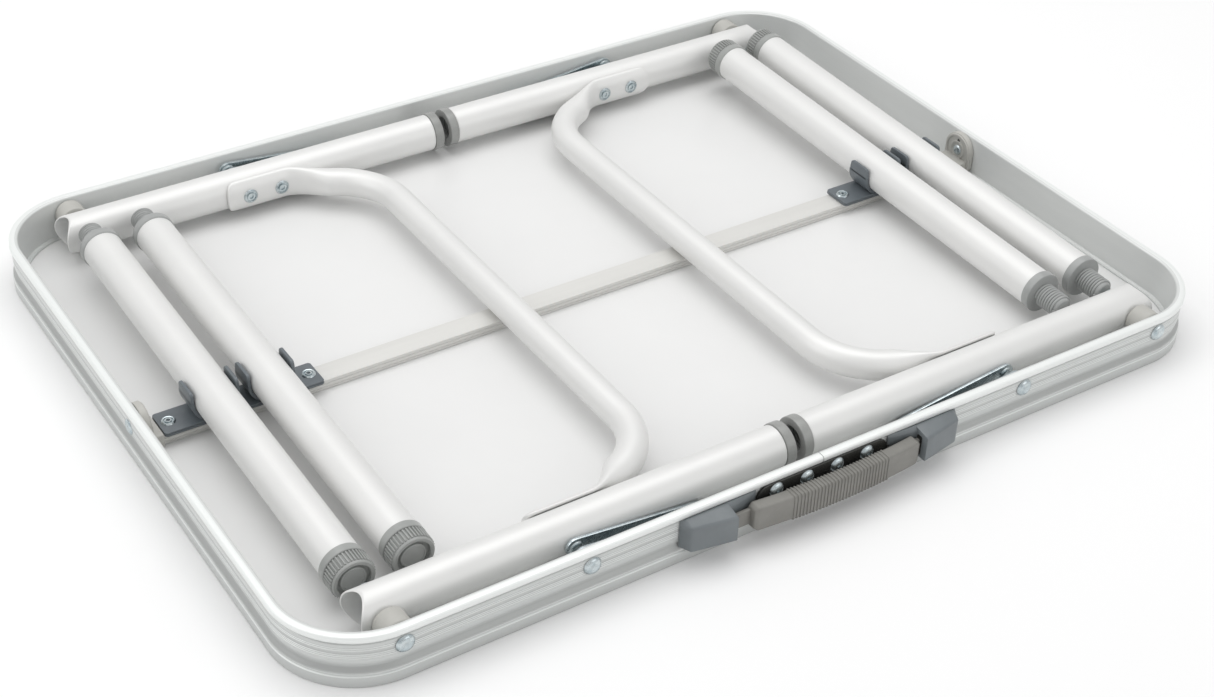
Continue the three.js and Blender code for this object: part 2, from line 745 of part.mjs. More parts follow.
function placeOnCross(station, [u, v]) {
  const radius = Math.hypot(u, v);
  const wall = radius / crossRadius;
  const along = v / radius;
  const across = u / radius;
  const round = new THREE.Vector3(station.nx, station.ny, 0).multiplyScalar(u);
  round.add(new THREE.Vector3(station.x, station.y, axisHeight + v));
  const half = THREE.MathUtils.degToRad(crossFlatHalfAngle) * station.spread;
  const slit = wall < 1 ? crossSlit : 1;
  const arc = half * along * (wall < 1 ? crossSlitReach : 1);
  const middle = legTubeRadius + fitGap * 2 + crossFlatThickness / 2;
  const r = middle + (crossFlatThickness / 2) * slit * across;
  const toMiddle = station.mirror ? -1 : 1;
  const flatY = toMiddle * (legY - r * Math.cos(arc));
  const flat = new THREE.Vector3(station.x, flatY, axisHeight + r * Math.sin(arc));
  return round.lerp(flat, station.flat);
}

function ringPoints(radius, count) {
  return Array.from({ length: count }, (_, k) => {
    const angle = (2 * Math.PI * k) / count;
    return [radius * Math.cos(angle), radius * Math.sin(angle)];
  });
}

function crossBarGeometry(side) {
  const outer = ringPoints(crossRadius, crossSides);
  const inner = ringPoints(crossRadius - crossWall, crossSides).reverse();
  const bar = sweep(outer, inner, crossStations(), placeOnCross);
  const holes = ends.map(([, end]) => (
    drillAlongY(stayShankRadius + fitGap, stayX, end * legInside, axisHeight)
  ));
  const right = cut(bar, ...holes);
  return side > 0 ? right : mirrored(right);
}

// Stay links: two flat bars side by side, hanging a little below the leg while it is folded.
function linkGeometry(from, to, side, end) {
  const shape = new THREE.Shape();
  shape.absarc(0, 0, stayHalfHeight, -Math.PI / 2, Math.PI / 2);
  shape.absarc(-stayLink, 0, stayHalfHeight, Math.PI / 2, 1.5 * Math.PI);
  const bar = plateXZ(shape, from, to);
  const hole = drillAlongY(stayShankRadius + fitGap, 0, from, 0);
  const link = cut(bar, hole).rotateY(THREE.MathUtils.degToRad(-stayDroop));
  return placedQuarter(link.translate(stayX, 0, axisHeight), side, end);
}

// A piece drawn for the right-hand back quarter, reflected into any of the four.
function placedQuarter(geometry, side, end) {
  const copy = geometry.clone().scale(side, end, 1);
  if (side * end < 0) copy.setIndex(Array.from(copy.index.array).reverse());
  return copy;
}

for (const [sideName, side] of sides) {
  addPiece(`cross_bar_${sideName}`, crossBarGeometry(side), whitePaint);
  for (const [endName, end] of ends) {
    const place = `${sideName}_${endName}`;
    addPiece(`leg_tube_${place}`, legTubeGeometry(side, end), whitePaint);
    addPiece(`leg_socket_${place}`, socketGeometry(side, end), greyPlastic);
    addPiece(`pivot_spacer_${place}`, spacerGeometry(side, end), spacerPlastic);
    addPiece(`pivot_rivet_${place}`, pivotRivetGeometry(side, end), zinc);
    addPiece(`stay_rim_rivet_${place}`, stayRimRivetGeometry(side, end), zinc);
    addPiece(`stay_leg_rivet_${place}`, stayLegRivetGeometry(side, end), zinc);
    const legLink = linkGeometry(legLinkInner, legLinkOuter, side, end);
    const rimLink = linkGeometry(rimLinkInner, rimLinkOuter, side, end);
    addPiece(`stay_leg_link_${place}`, legLink, zinc);
    addPiece(`stay_rim_link_${place}`, rimLink, zinc);
  }
}

// Extension legs, lying in the clips: a tube, a threaded stud in one end and a foot in the other.
function extensionTubeGeometry() {
  const half = extensionTubeLength / 2;
  return turned(ringProfile(extensionRadius - tubeWall, extensionRadius, -half, half));
}

function studGeometry() {
  const from = extensionTubeLength / 2 + fitGap;
  const sleeve = extensionRadius - tubeWall - fitGap;
  const collarEnd = from + studCollarLength;
  const tip = extensionTubeLength / 2 + studCollarLength + studLength;
  return turned([
    [0, from - insertLength],
    [sleeve, from - insertLength],
    [sleeve, from],
    [collarRadius, from],
    [collarRadius, collarEnd],
    [studRadius, collarEnd],
    [studRadius, tip - studChamfer],
    [studRadius - studChamfer, tip],
    [0, tip],
  ]);
}

function footGeometry() {
  const from = extensionTubeLength / 2 + fitGap;
  const sleeve = extensionRadius - tubeWall - fitGap;
  const face = extensionTubeLength / 2 + footLength;
  return turned([
    [0, from - insertLength],
    [sleeve, from - insertLength],
    [sleeve, from],
    [collarRadius, from],
    [collarRadius, face],
    [footRecessRadius, face],
    [footRecessRadius, face - footRecessDepth],
    [footDiscRadius, face - footRecessDepth],
    [footDiscRadius, face - footDiscInset],
    [0, face - footDiscInset],
  ]);
}

// The left pair has its feet at the front, and the right pair at the back.
const footOffset = (studCollarLength + studLength - footLength) / 2;
for (const [sideName, side] of sides) {
  for (const [slotName, slot] of [['inner', -1], ['outer', 1]]) {
    const leg = new THREE.Group();
    leg.applyMatrix4(storedFrame(side * storedX(slot)));
    const turn = new THREE.Group();
    turn.rotation.z = side > 0 ? Math.PI : 0;
    turn.position.y = side * (footOffset - storedShift);
    leg.add(turn);
    group.add(leg);
    const place = `${sideName}_${slotName}`;
    addPiece(`extension_tube_${place}`, extensionTubeGeometry(), whitePaint, turn);
    addPiece(`extension_stud_${place}`, studGeometry(), greyPlastic, turn);
    addPiece(`extension_foot_${place}`, footGeometry().rotateZ(Math.PI), greyPlastic, turn);
  }
}

export default group;
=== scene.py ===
import math

import bmesh
import bpy
from mathutils import Matrix, Vector


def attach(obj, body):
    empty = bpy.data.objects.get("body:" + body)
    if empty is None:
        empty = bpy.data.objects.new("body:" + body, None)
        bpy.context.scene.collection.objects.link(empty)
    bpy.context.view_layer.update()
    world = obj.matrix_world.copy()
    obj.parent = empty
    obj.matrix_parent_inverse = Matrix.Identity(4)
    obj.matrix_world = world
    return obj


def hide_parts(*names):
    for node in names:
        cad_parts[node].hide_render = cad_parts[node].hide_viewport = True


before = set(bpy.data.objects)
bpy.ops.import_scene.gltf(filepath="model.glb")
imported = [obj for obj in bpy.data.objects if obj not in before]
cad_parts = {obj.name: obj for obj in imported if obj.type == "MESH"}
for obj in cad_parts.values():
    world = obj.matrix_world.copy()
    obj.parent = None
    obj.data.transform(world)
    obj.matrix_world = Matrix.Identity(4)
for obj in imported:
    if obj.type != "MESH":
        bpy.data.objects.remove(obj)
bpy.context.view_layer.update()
print("frame loaded:", len(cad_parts), "nodes")

# sizes are in millimetres; what nodes, lights and the camera take is in metres
mm = 0.001
halfLength = 400          # over the lip
halfWidth = 300
cornerRadius = 66
fitGap = 0.3
footLevel = -1.5
rimTop = 41.4
panelTop = 6.5
axisHeight = 27.8         # leg tubes and cross bars
pivotX = 334
stayX = 193
legY = 259
legRadius = 16
legInside = legY - legRadius
wallOutside = 299.1       # seat of the rivet heads on the long walls
flatInside = 239.1        # faces of the cross bars' flats
flatOutside = legInside - 2 * fitGap
legLink = (276.0, 278.5)  # the stay links' faces, inner one first
rimLink = (286.0, 289.0)
sides = {"left": -1, "right": 1}
ends = {"front": -1, "back": 1}


# materials
def addNode(tree, kind, **inputs):
    node = tree.nodes.new(kind)
    for name, value in inputs.items():
        node.inputs[name].default_value = value
    return node


def objectPattern(tree, stretch):
    place = tree.nodes.new("ShaderNodeTexCoord")
    mapping = addNode(tree, "ShaderNodeMapping", Scale=stretch)
    tree.links.new(place.outputs["Object"], mapping.inputs["Vector"])
    return mapping.outputs["Vector"]


def finishMaterial(name, look):
    material = bpy.data.materials.new(name)
    material.use_nodes = True
    tree = material.node_tree
    shader = tree.nodes["Principled BSDF"]
    shader.inputs["Metallic"].default_value = look["metallic"]
    shader.inputs["Specular IOR Level"].default_value = look.get("specular", 0.5)
    shader.inputs["Coat Weight"].default_value = look.get("coat", 0.0)
    shader.inputs["Coat Roughness"].default_value = 0.2
    vector = objectPattern(tree, look.get("stretch", (1, 1, 1)))

    clouds = addNode(tree, "ShaderNodeTexNoise", Scale=look["cloudScale"], Detail=4.0, Roughness=0.6)
    tree.links.new(vector, clouds.inputs["Vector"])
    ramp = tree.nodes.new("ShaderNodeValToRGB")
    ramp.color_ramp.elements[0].position = 0.3
    ramp.color_ramp.elements[1].position = 0.7
    ramp.color_ramp.elements[0].color = (*look["shade"], 1)
    ramp.color_ramp.elements[1].color = (*look["color"], 1)
    tree.links.new(clouds.outputs["Fac"], ramp.inputs["Fac"])
    tree.links.new(ramp.outputs["Color"], shader.inputs["Base Color"])

    grain = addNode(tree, "ShaderNodeTexNoise", Scale=look["grainScale"], Detail=3.0, Roughness=0.55)
    tree.links.new(vector, grain.inputs["Vector"])
    spread = addNode(tree, "ShaderNodeMapRange")
    spread.inputs["To Min"].default_value = look["roughness"] - look["roughnessSpread"]
    spread.inputs["To Max"].default_value = look["roughness"] + look["roughnessSpread"]
    tree.links.new(grain.outputs["Fac"], spread.inputs["Value"])
    tree.links.new(spread.outputs["Result"], shader.inputs["Roughness"])

    bump = addNode(tree, "ShaderNodeBump", Strength=look["bump"], Distance=0.0002)
    tree.links.new(grain.outputs["Fac"], bump.inputs["Height"])
    tree.links.new(bump.outputs["Normal"], shader.inputs["Normal"])
    return material


looks = {
    "laminate": dict(color=(0.81, 0.81, 0.805), shade=(0.785, 0.785, 0.78), metallic=0.0, roughness=0.34,
                     roughnessSpread=0.04, cloudScale=6, grainScale=900, bump=0.03, coat=0.2),
    "rim_metal": dict(color=(0.72, 0.735, 0.725), shade=(0.66, 0.675, 0.665), metallic=0.25, roughness=0.38,
                      roughnessSpread=0.07, cloudScale=14, grainScale=700, bump=0.05,
                      stretch=(0.3, 0.3, 2.2)),
    "white_tube": dict(color=(0.80, 0.80, 0.788), shade=(0.775, 0.775, 0.765), metallic=0.25, roughness=0.45,
                       roughnessSpread=0.05, cloudScale=20, grainScale=1300, bump=0.08, coat=0.04),
    "bar_metal": dict(color=(0.74, 0.735, 0.71), shade=(0.69, 0.685, 0.66), metallic=0.2, roughness=0.42,
                      roughnessSpread=0.08, cloudScale=26, grainScale=900, bump=0.08,
                      stretch=(0.15, 2.5, 2.5)),
    "zinc": dict(color=(0.66, 0.71, 0.72), shade=(0.42, 0.49, 0.52), metallic=0.95, roughness=0.27,
                 roughnessSpread=0.09, cloudScale=190, grainScale=1600, bump=0.1),
    "socket_plastic": dict(color=(0.34, 0.345, 0.335), shade=(0.29, 0.295, 0.285), metallic=0.0,
                           roughness=0.28, roughnessSpread=0.06, cloudScale=60, grainScale=2600, bump=0.18),
    "stud_plastic": dict(color=(0.38, 0.39, 0.385), shade=(0.33, 0.34, 0.335), metallic=0.0, roughness=0.34,
                         roughnessSpread=0.06, cloudScale=70, grainScale=2600, bump=0.15),
    "foot_plastic": dict(color=(0.37, 0.38, 0.37), shade=(0.32, 0.33, 0.32), metallic=0.0, roughness=0.3,
                         roughnessSpread=0.06, cloudScale=70, grainScale=2600, bump=0.15),
    "clip_plastic": dict(color=(0.145, 0.165, 0.18), shade=(0.12, 0.138, 0.152), metallic=0.0, roughness=0.34,
                         roughnessSpread=0.06, cloudScale=55, grainScale=2400, bump=0.16),
    "bracket_plastic": dict(color=(0.175, 0.195, 0.205), shade=(0.15, 0.167, 0.177), metallic=0.0,
                            roughness=0.36, roughnessSpread=0.06, cloudScale=45, grainScale=2200, bump=0.14),
    "grip_plastic": dict(color=(0.235, 0.23, 0.212), shade=(0.195, 0.19, 0.175), metallic=0.0, roughness=0.46,
                         roughnessSpread=0.07, cloudScale=50, grainScale=2000, bump=0.25),
    # the joint plate's own black; also used as painted shade in the handle bracket slots and the bar bracket
    # holes
    "black_plastic": dict(color=(0.026, 0.026, 0.024), shade=(0.016, 0.016, 0.014), metallic=0.0,
                          roughness=0.28, roughnessSpread=0.08, cloudScale=80, grainScale=1800, bump=0.12),
    "spacer_plastic": dict(color=(0.50, 0.495, 0.465), shade=(0.45, 0.445, 0.415), metallic=0.0,
                           roughness=0.46, roughnessSpread=0.06, cloudScale=60, grainScale=2200, bump=0.15),
}
materials = {slot: finishMaterial(slot, look) for slot, look in looks.items()}
print("materials made:", len(materials))


# bands up the rim's outer face and over its lip, on top of the metal's own tone: painted highlights along the
# rib lines, the band's edge and the lip top, and painted shade in the groove and under each rib line; the
# inner face keeps the plain finish
def paintWallLightAndShade(material, levels, tint):
    tree = material.node_tree
    shader = tree.nodes["Principled BSDF"]
    plain = shader.inputs["Base Color"].links[0].from_socket
    place = tree.nodes.new("ShaderNodeTexCoord")
    split = tree.nodes.new("ShaderNodeSeparateXYZ")
    height = addNode(tree, "ShaderNodeMapRange")
    height.inputs["From Min"].default_value = footLevel * mm
    height.inputs["From Max"].default_value = rimTop * mm
    lightAndShadeBands = tree.nodes.new("ShaderNodeValToRGB")
    while len(lightAndShadeBands.color_ramp.elements) < len(levels):
        lightAndShadeBands.color_ramp.elements.new(0.5)
    for element, (level, tone) in zip(lightAndShadeBands.color_ramp.elements, levels):
        element.position = level / (rimTop - footLevel)
        element.color = (*[tone * part for part in tint], 1)
    outward = tree.nodes.new("ShaderNodeVectorMath")
    outward.operation = "DOT_PRODUCT"
    outside = tree.nodes.new("ShaderNodeMath")
    outside.operation = "GREATER_THAN"
    outside.inputs[1].default_value = 0.0
    mix = tree.nodes.new("ShaderNodeMix")
    mix.data_type = "RGBA"
    tree.links.new(place.outputs["Object"], split.inputs["Vector"])
    tree.links.new(split.outputs["Z"], height.inputs["Value"])
    tree.links.new(height.outputs["Result"], lightAndShadeBands.inputs["Fac"])
    tree.links.new(place.outputs["Object"], outward.inputs[0])
    tree.links.new(place.outputs["Normal"], outward.inputs[1])
    tree.links.new(outward.outputs["Value"], outside.inputs[0])
    tree.links.new(outside.outputs["Value"], mix.inputs["Factor"])
    tree.links.new(plain, mix.inputs["A"])
    tree.links.new(lightAndShadeBands.outputs["Color"], mix.inputs["B"])
    tree.links.new(mix.outputs["Result"], shader.inputs["Base Color"])


# mesh tools
def fillet(points, radius, steps=3):
    corners = [Vector(p) for p in points]
    result = []
    for i, corner in enumerate(corners):
        before = corners[i - 1] - corner
        after = corners[(i + 1) % len(corners)] - corner
        reach = min(radius, before.length * 0.45, after.length * 0.45)
        a = corner + before.normalized() * reach
        b = corner + after.normalized() * reach
        for k in range(steps + 1):
            t = k / steps
            result.append(a * (1 - t) ** 2 + corner * 2 * t * (1 - t) + b * t * t)
    return [tuple(p) for p in result]


def gridFaces(rows, columns, closedRows, closedColumns):
    faces = []
    for i in range(rows if closedRows else rows - 1):
        for k in range(columns if closedColumns else columns - 1):
            a = i * columns + k
            b = i * columns + (k + 1) % columns
            c = ((i + 1) % rows) * columns + (k + 1) % columns
            d = ((i + 1) % rows) * columns + k
            faces.append((a, b, c, d))
    return faces


def arcPoints(x, z, radius, start, sweep, steps):
    angles = [math.radians(start + sweep * k / steps) for k in range(steps + 1)]
    return [(x + radius * math.cos(angle), z + radius * math.sin(angle)) for angle in angles]


def rod(radius, length):
    return [(0, 0), (radius, 0), (radius, length), (0, length)]


# a section carried along stations, with both ends closed
def carried(section, stations, place):
    points = [place(station, point) for station in stations for point in section]
    faces = gridFaces(len(stations), len(section), False, True)
    last = (len(stations) - 1) * len(section)
    faces.append(tuple(range(len(section)))[::-1])
    faces.append(tuple(last + k for k in range(len(section))))
    return points, faces


def spun(profile, segments, place):
    closed = profile[0][0] > 0
    points = []
    for k in range(segments):
        angle = 2 * math.pi * k / segments
        points.extend(place(r, a, angle) for r, a in profile)
    return points, gridFaces(segments, len(profile), True, closed)


def alongAxis(origin, direction):
    turn = Vector(direction).to_track_quat("Z", "Y").to_matrix()
    start = Vector(origin)
    return lambda r, a, angle: start + turn @ Vector((r * math.cos(angle), r * math.sin(angle), a))


def prism(outline, low, high, plane, bevel, bevelSteps=2):
    order = {"xy": (0, 1, 2), "xz": (0, 2, 1), "yz": (2, 0, 1)}[plane]
    bm = bmesh.new()
    lower = [bm.verts.new((u, v, low)) for u, v in outline]
    bottom = bm.faces.new(lower)
    top = bmesh.ops.extrude_face_region(bm, geom=[bottom])
    for item in top["geom"]:
        if isinstance(item, bmesh.types.BMVert):
            item.co.z = high
    bmesh.ops.recalc_face_normals(bm, faces=bm.faces)
    flat = [e for e in bm.edges if abs(e.verts[0].co.z - e.verts[1].co.z) < 1e-6]
    bmesh.ops.bevel(bm, geom=flat, offset=bevel, segments=bevelSteps, affect="EDGES", profile=0.6,
                    clamp_overlap=True)
    points = [Vector([vert.co[axis] for axis in order]) for vert in bm.verts]
    bm.verts.index_update()
    faces = [tuple(v.index for v in face.verts) for face in bm.faces]
    bm.free()
    return points, faces


def meshOf(parts, sharp):
    bm = bmesh.new()
    for points, faces in parts:
        made = [bm.verts.new(Vector(p) * mm) for p in points]
        for face in faces:
            bm.faces.new([made[k] for k in face])
    bmesh.ops.remove_doubles(bm, verts=bm.verts, dist=1e-7)
    bmesh.ops.recalc_face_normals(bm, faces=bm.faces)
    mesh = bpy.data.meshes.new("shape")
    bm.to_mesh(mesh)
    bm.free()
    mesh.polygons.foreach_set("use_smooth", [True] * len(mesh.polygons))
    mesh.set_sharp_from_angle(angle=math.radians(sharp))
    return mesh


def addPiece(name, parts, slot, body, replaces=(), sharp=32):
    piece = bpy.data.objects.new(name, meshOf(parts, sharp))
    bpy.context.collection.objects.link(piece)
    piece.data.materials.append(materials[slot])
    keepPiece(piece, body, replaces)


def keepPiece(piece, body, replaces):
    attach(piece, body)
    if replaces:
        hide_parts(*replaces)


def mirroredParts(parts, side=1, end=1):
    return [([Vector((p[0] * side, p[1] * end, p[2])) for p in points], faces) for points, faces in parts]


# geometry nodes
def newTree(name, inputs):
    tree = bpy.data.node_groups.new(name, "GeometryNodeTree")
    tree.interface.new_socket("Geometry", in_out="INPUT", socket_type="NodeSocketGeometry")
    for label, (kind, value) in inputs.items():
        socket = tree.interface.new_socket(label, in_out="INPUT", socket_type=kind)
        if value is not None:
            socket.default_value = value
    tree.interface.new_socket("Geometry", in_out="OUTPUT", socket_type="NodeSocketGeometry")
    return tree, tree.nodes.new("NodeGroupInput"), tree.nodes.new("NodeGroupOutput")


def endTree(tree, entry, exitNode, geometry):
    realize = tree.nodes.new("GeometryNodeRealizeInstances")
    paint = tree.nodes.new("GeometryNodeSetMaterial")
    tree.links.new(geometry, realize.inputs["Geometry"])
    tree.links.new(realize.outputs["Geometry"], paint.inputs["Geometry"])
    tree.links.new(entry.outputs["Material"], paint.inputs["Material"])
    tree.links.new(paint.outputs["Geometry"], exitNode.inputs["Geometry"])
    return tree


def makeRowTree():
    tree, entry, exitNode = newTree("row of copies", {
        "Count": ("NodeSocketInt", 4),
        "Start": ("NodeSocketVector", None), "Step": ("NodeSocketVector", None),
        "Bow": ("NodeSocketFloat", 0.0), "Turn": ("NodeSocketFloat", 0.0), "Seed": ("NodeSocketInt", 7),
        "Material": ("NodeSocketMaterial", None)})
    line = tree.nodes.new("GeometryNodeMeshLine")
    tree.links.new(entry.outputs["Count"], line.inputs["Count"])
    tree.links.new(entry.outputs["Start"], line.inputs["Start Location"])
    tree.links.new(entry.outputs["Step"], line.inputs["Offset"])
    position = tree.nodes.new("GeometryNodeInputPosition")
    split = tree.nodes.new("ShaderNodeSeparateXYZ")
    square = tree.nodes.new("ShaderNodeMath")
    square.operation = "POWER"
    square.inputs[1].default_value = 2
    sag = tree.nodes.new("ShaderNodeMath")
    sag.operation = "MULTIPLY"
    offset = tree.nodes.new("ShaderNodeCombineXYZ")
    bend = tree.nodes.new("GeometryNodeSetPosition")
    tree.links.new(position.outputs["Position"], split.inputs["Vector"])
    tree.links.new(split.outputs["X"], square.inputs[0])
    tree.links.new(square.outputs["Value"], sag.inputs[0])
    tree.links.new(entry.outputs["Bow"], sag.inputs[1])
    tree.links.new(sag.outputs["Value"], offset.inputs["Y"])
    tree.links.new(line.outputs["Mesh"], bend.inputs["Geometry"])
    tree.links.new(offset.outputs["Vector"], bend.inputs["Offset"])
    chance = tree.nodes.new("FunctionNodeRandomValue")
    chance.data_type = "FLOAT"
    tree.links.new(entry.outputs["Seed"], chance.inputs["Seed"])
    turn = tree.nodes.new("ShaderNodeMath")
    turn.operation = "MULTIPLY"
    tree.links.new(chance.outputs[1], turn.inputs[0])
    tree.links.new(entry.outputs["Turn"], turn.inputs[1])
    spin = tree.nodes.new("ShaderNodeCombineXYZ")
    tree.links.new(turn.outputs["Value"], spin.inputs["Y"])
    copies = tree.nodes.new("GeometryNodeInstanceOnPoints")
    tree.links.new(bend.outputs["Geometry"], copies.inputs["Points"])
    tree.links.new(entry.outputs["Geometry"], copies.inputs["Instance"])
    tree.links.new(spin.outputs["Vector"], copies.inputs["Rotation"])
    return endTree(tree, entry, exitNode, copies.outputs["Instances"])


def makeRingTree():
    tree, entry, exitNode = newTree("ring of copies", {
        "Count": ("NodeSocketInt", 40), "Radius": ("NodeSocketFloat", 0.017),
        "Material": ("NodeSocketMaterial", None)})
    circle = tree.nodes.new("GeometryNodeMeshCircle")
    tree.links.new(entry.outputs["Count"], circle.inputs["Vertices"])
    tree.links.new(entry.outputs["Radius"], circle.inputs["Radius"])
    position = tree.nodes.new("GeometryNodeInputPosition")
    outward = tree.nodes.new("FunctionNodeAlignRotationToVector")
    outward.axis = "X"
    tree.links.new(position.outputs["Position"], outward.inputs["Vector"])
    copies = tree.nodes.new("GeometryNodeInstanceOnPoints")
    tree.links.new(circle.outputs["Mesh"], copies.inputs["Points"])
    tree.links.new(entry.outputs["Geometry"], copies.inputs["Instance"])
    tree.links.new(outward.outputs["Rotation"], copies.inputs["Rotation"])
    return endTree(tree, entry, exitNode, copies.outputs["Instances"])


def makeThreadTree():
    tree, entry, exitNode = newTree("screw thread", {
        "Radius": ("NodeSocketFloat", 0.01), "Turns": ("NodeSocketFloat", 9.0),
        "Length": ("NodeSocketFloat", 0.02), "Ridge": ("NodeSocketFloat", 0.0009),
        "Material": ("NodeSocketMaterial", None)})
    helix = tree.nodes.new("GeometryNodeCurveSpiral")
    helix.inputs["Resolution"].default_value = 40
    tree.links.new(entry.outputs["Turns"], helix.inputs["Rotations"])
    tree.links.new(entry.outputs["Radius"], helix.inputs["Start Radius"])
    tree.links.new(entry.outputs["Radius"], helix.inputs["End Radius"])
    tree.links.new(entry.outputs["Length"], helix.inputs["Height"])
    ridge = tree.nodes.new("GeometryNodeCurvePrimitiveCircle")
    ridge.inputs["Resolution"].default_value = 8
    tree.links.new(entry.outputs["Ridge"], ridge.inputs["Radius"])
    wind = tree.nodes.new("GeometryNodeCurveToMesh")
    wind.inputs["Fill Caps"].default_value = True
    tree.links.new(helix.outputs["Curve"], wind.inputs["Curve"])
    tree.links.new(ridge.outputs["Curve"], wind.inputs["Profile Curve"])
    return endTree(tree, entry, exitNode, wind.outputs["Mesh"])


def makePipeTree():
    tree, entry, exitNode = newTree("straight tube", {
        "Length": ("NodeSocketFloat", 0.4), "Radius": ("NodeSocketFloat", 0.016),
        "Sides": ("NodeSocketInt", 72), "Material": ("NodeSocketMaterial", None)})
    along = tree.nodes.new("ShaderNodeCombineXYZ")
    tree.links.new(entry.outputs["Length"], along.inputs["Z"])
    line = tree.nodes.new("GeometryNodeCurvePrimitiveLine")
    tree.links.new(along.outputs["Vector"], line.inputs["End"])
    rings = tree.nodes.new("GeometryNodeResampleCurve")
    rings.inputs["Count"].default_value = 12
    tree.links.new(line.outputs["Curve"], rings.inputs["Curve"])
    circle = tree.nodes.new("GeometryNodeCurvePrimitiveCircle")
    tree.links.new(entry.outputs["Sides"], circle.inputs["Resolution"])
    tree.links.new(entry.outputs["Radius"], circle.inputs["Radius"])
    skin = tree.nodes.new("GeometryNodeCurveToMesh")
    skin.inputs["Fill Caps"].default_value = True
    tree.links.new(rings.outputs["Curve"], skin.inputs["Curve"])
    tree.links.new(circle.outputs["Curve"], skin.inputs["Profile Curve"])
    return endTree(tree, entry, exitNode, skin.outputs["Mesh"])


rowTree = makeRowTree()
ringTree = makeRingTree()
threadTree = makeThreadTree()
pipeTree = makePipeTree()


def growPiece(name, tree, values, slot, body, place, seedParts=(), replaces=(), sharp=32):
    base = meshOf(seedParts, sharp) if seedParts else bpy.data.meshes.new(name)
    piece = bpy.data.objects.new(name, base)
    bpy.context.collection.objects.link(piece)
    modifier = piece.modifiers.new("build", "NODES")
    modifier.node_group = tree
    values = dict(values, Material=materials[slot])
    for socket in tree.interface.items_tree:
        if socket.in_out == "INPUT" and socket.name in values:
            modifier[socket.identifier] = values[socket.name]
    graph = bpy.context.evaluated_depsgraph_get()
    grown = bpy.data.meshes.new_from_object(piece.evaluated_get(graph), depsgraph=graph)
    piece.modifiers.remove(modifier)
    piece.data = grown
    scaled = Matrix.Translation(place.to_translation() * mm) @ place.to_3x3().to_4x4()
    grown.transform(scaled)
    grown.polygons.foreach_set("use_smooth", [True] * len(grown.polygons))
    grown.set_sharp_from_angle(angle=math.radians(sharp))
    keepPiece(piece, body, replaces)


# rim and tabletop
# the line tone is a painted highlight along each rib line and the line shade a painted shade just under it;
# the wall tone and tint are the metal's own colour
rimLook = dict(cornerSteps=24, buttGap=0.6, lines=(24.3, 25.8, 27.3, 31.1, 32.5),
               lineDepth=0.35, lineWidth=0.5, wallFace=-1.2,
               wallTone=0.62, lineHighlight=1.0, lineShade=0.46, tint=(0.975, 1, 0.985))


def rimSection():
    wall = rimLook["wallFace"]
    half = rimLook["lineWidth"] / 2
    points = [(-5, 0), (0.1, 0), (0.6, 0.2), (0.8, 0.8), (0.8, 8.4), (0.5, 8.9), (-0.5, 9.3), (-0.6, 10.2),
              (-0.1, 10.8), (0.2, 11.6), (0.15, 12.7), (-0.35, 13.5), (-1.3, 14.4), (-2.3, 15.6),
              (-2.6, 16.6), (-2.4, 17.8), (-1.9, 19.4), (-1.4, 21.2), (wall, 23.2)]
    for level in rimLook["lines"]:
        points += [(wall, level - half), (wall - rimLook["lineDepth"], level), (wall, level + half)]
    points += [(wall, 35.7), (-1.9, 36.2), (-2.0, 37.3), (-0.9, 37.7), (-0.25, 38.2), (0, 38.9), (0, 41.3),
               (-0.2, 42.0), (-0.7, 42.55), (-1.5, 42.85), (-3.7, 42.9), (-5.9, 42.85), (-6.7, 42.55),
               (-7.2, 42.0), (-7.4, 41.3), (-7.4, 10.6), (-7.7, 10.1), (-9.2, 9.9), (-9.5, 9.6), (-9.8, 9.9),
               (-11.0, 9.8), (-11.4, 9.4), (-11.4, 8.15), (-2.4, 8.15), (-2.4, 1.2), (-5, 1.2)]
    return [(out, level + footLevel) for out, level in points]


def rimStations():
    stations = [(rimLook["buttGap"] / 2, -halfWidth, 0, -1)]
    for side, end, start in ((1, -1, -90), (1, 1, 0), (-1, 1, 90), (-1, -1, 180)):
        for k in range(rimLook["cornerSteps"] + 1):
            angle = math.radians(start + 90 * k / rimLook["cornerSteps"])
            nx, ny = math.cos(angle), math.sin(angle)
            stations.append((side * (halfLength - cornerRadius) + nx * cornerRadius,
                             end * (halfWidth - cornerRadius) + ny * cornerRadius, nx, ny))
    stations.append((-rimLook["buttGap"] / 2, -halfWidth, 0, -1))
    return stations


def placeOnRim(station, point):
    x, y, nx, ny = station
    out, level = point
    return Vector((x + nx * out, y + ny * out, level))


# own tone of the band and wall, with painted highlights on the band's top edge (8.9), the ridge (10.9) and
# the lip top (from 38), painted shade in the groove (13-15.6), and lighter paint over the overhang (18.5-21)
# against its rendered shade
def wallToneAndLightLevels():
    wall = rimLook["wallTone"]
    levels = [(0, 0.55), (8.6, 0.57), (8.9, 0.88), (9.5, 0.6), (10.9, 0.82), (11.6, 0.58), (13.0, 0.42),
              (15.6, 0.42), (18.5, 0.66), (21, 0.68), (22.6, wall)]
    for level in rimLook["lines"]:
        levels += [(level - 0.5, wall), (level, rimLook["lineHighlight"]), (level + 0.4, rimLook["lineShade"])]
    return levels + [(33.4, wall), (37.4, wall), (38.0, 0.86), (42.9, 0.88)]


paintWallLightAndShade(materials["rim_metal"], wallToneAndLightLevels(), rimLook["tint"])
addPiece("rim_wall", [carried(rimSection(), rimStations(), placeOnRim)], "rim_metal", "tray",
         ["rim"], sharp=38)
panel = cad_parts["tabletop_panel"]
panel.data.materials.clear()
panel.data.materials.append(materials["laminate"])
print("rim and tabletop done")


# rivets
rivetLook = dict(headRadius=7, headHeight=2.6, flangeRadius=6.3, coreRadius=3.3,
                 pivotShank=(3.9, 57), rimShank=(2.9, 14), legShank=(2.9, 40),
                 innerFace=285.7, secondRivet=29)


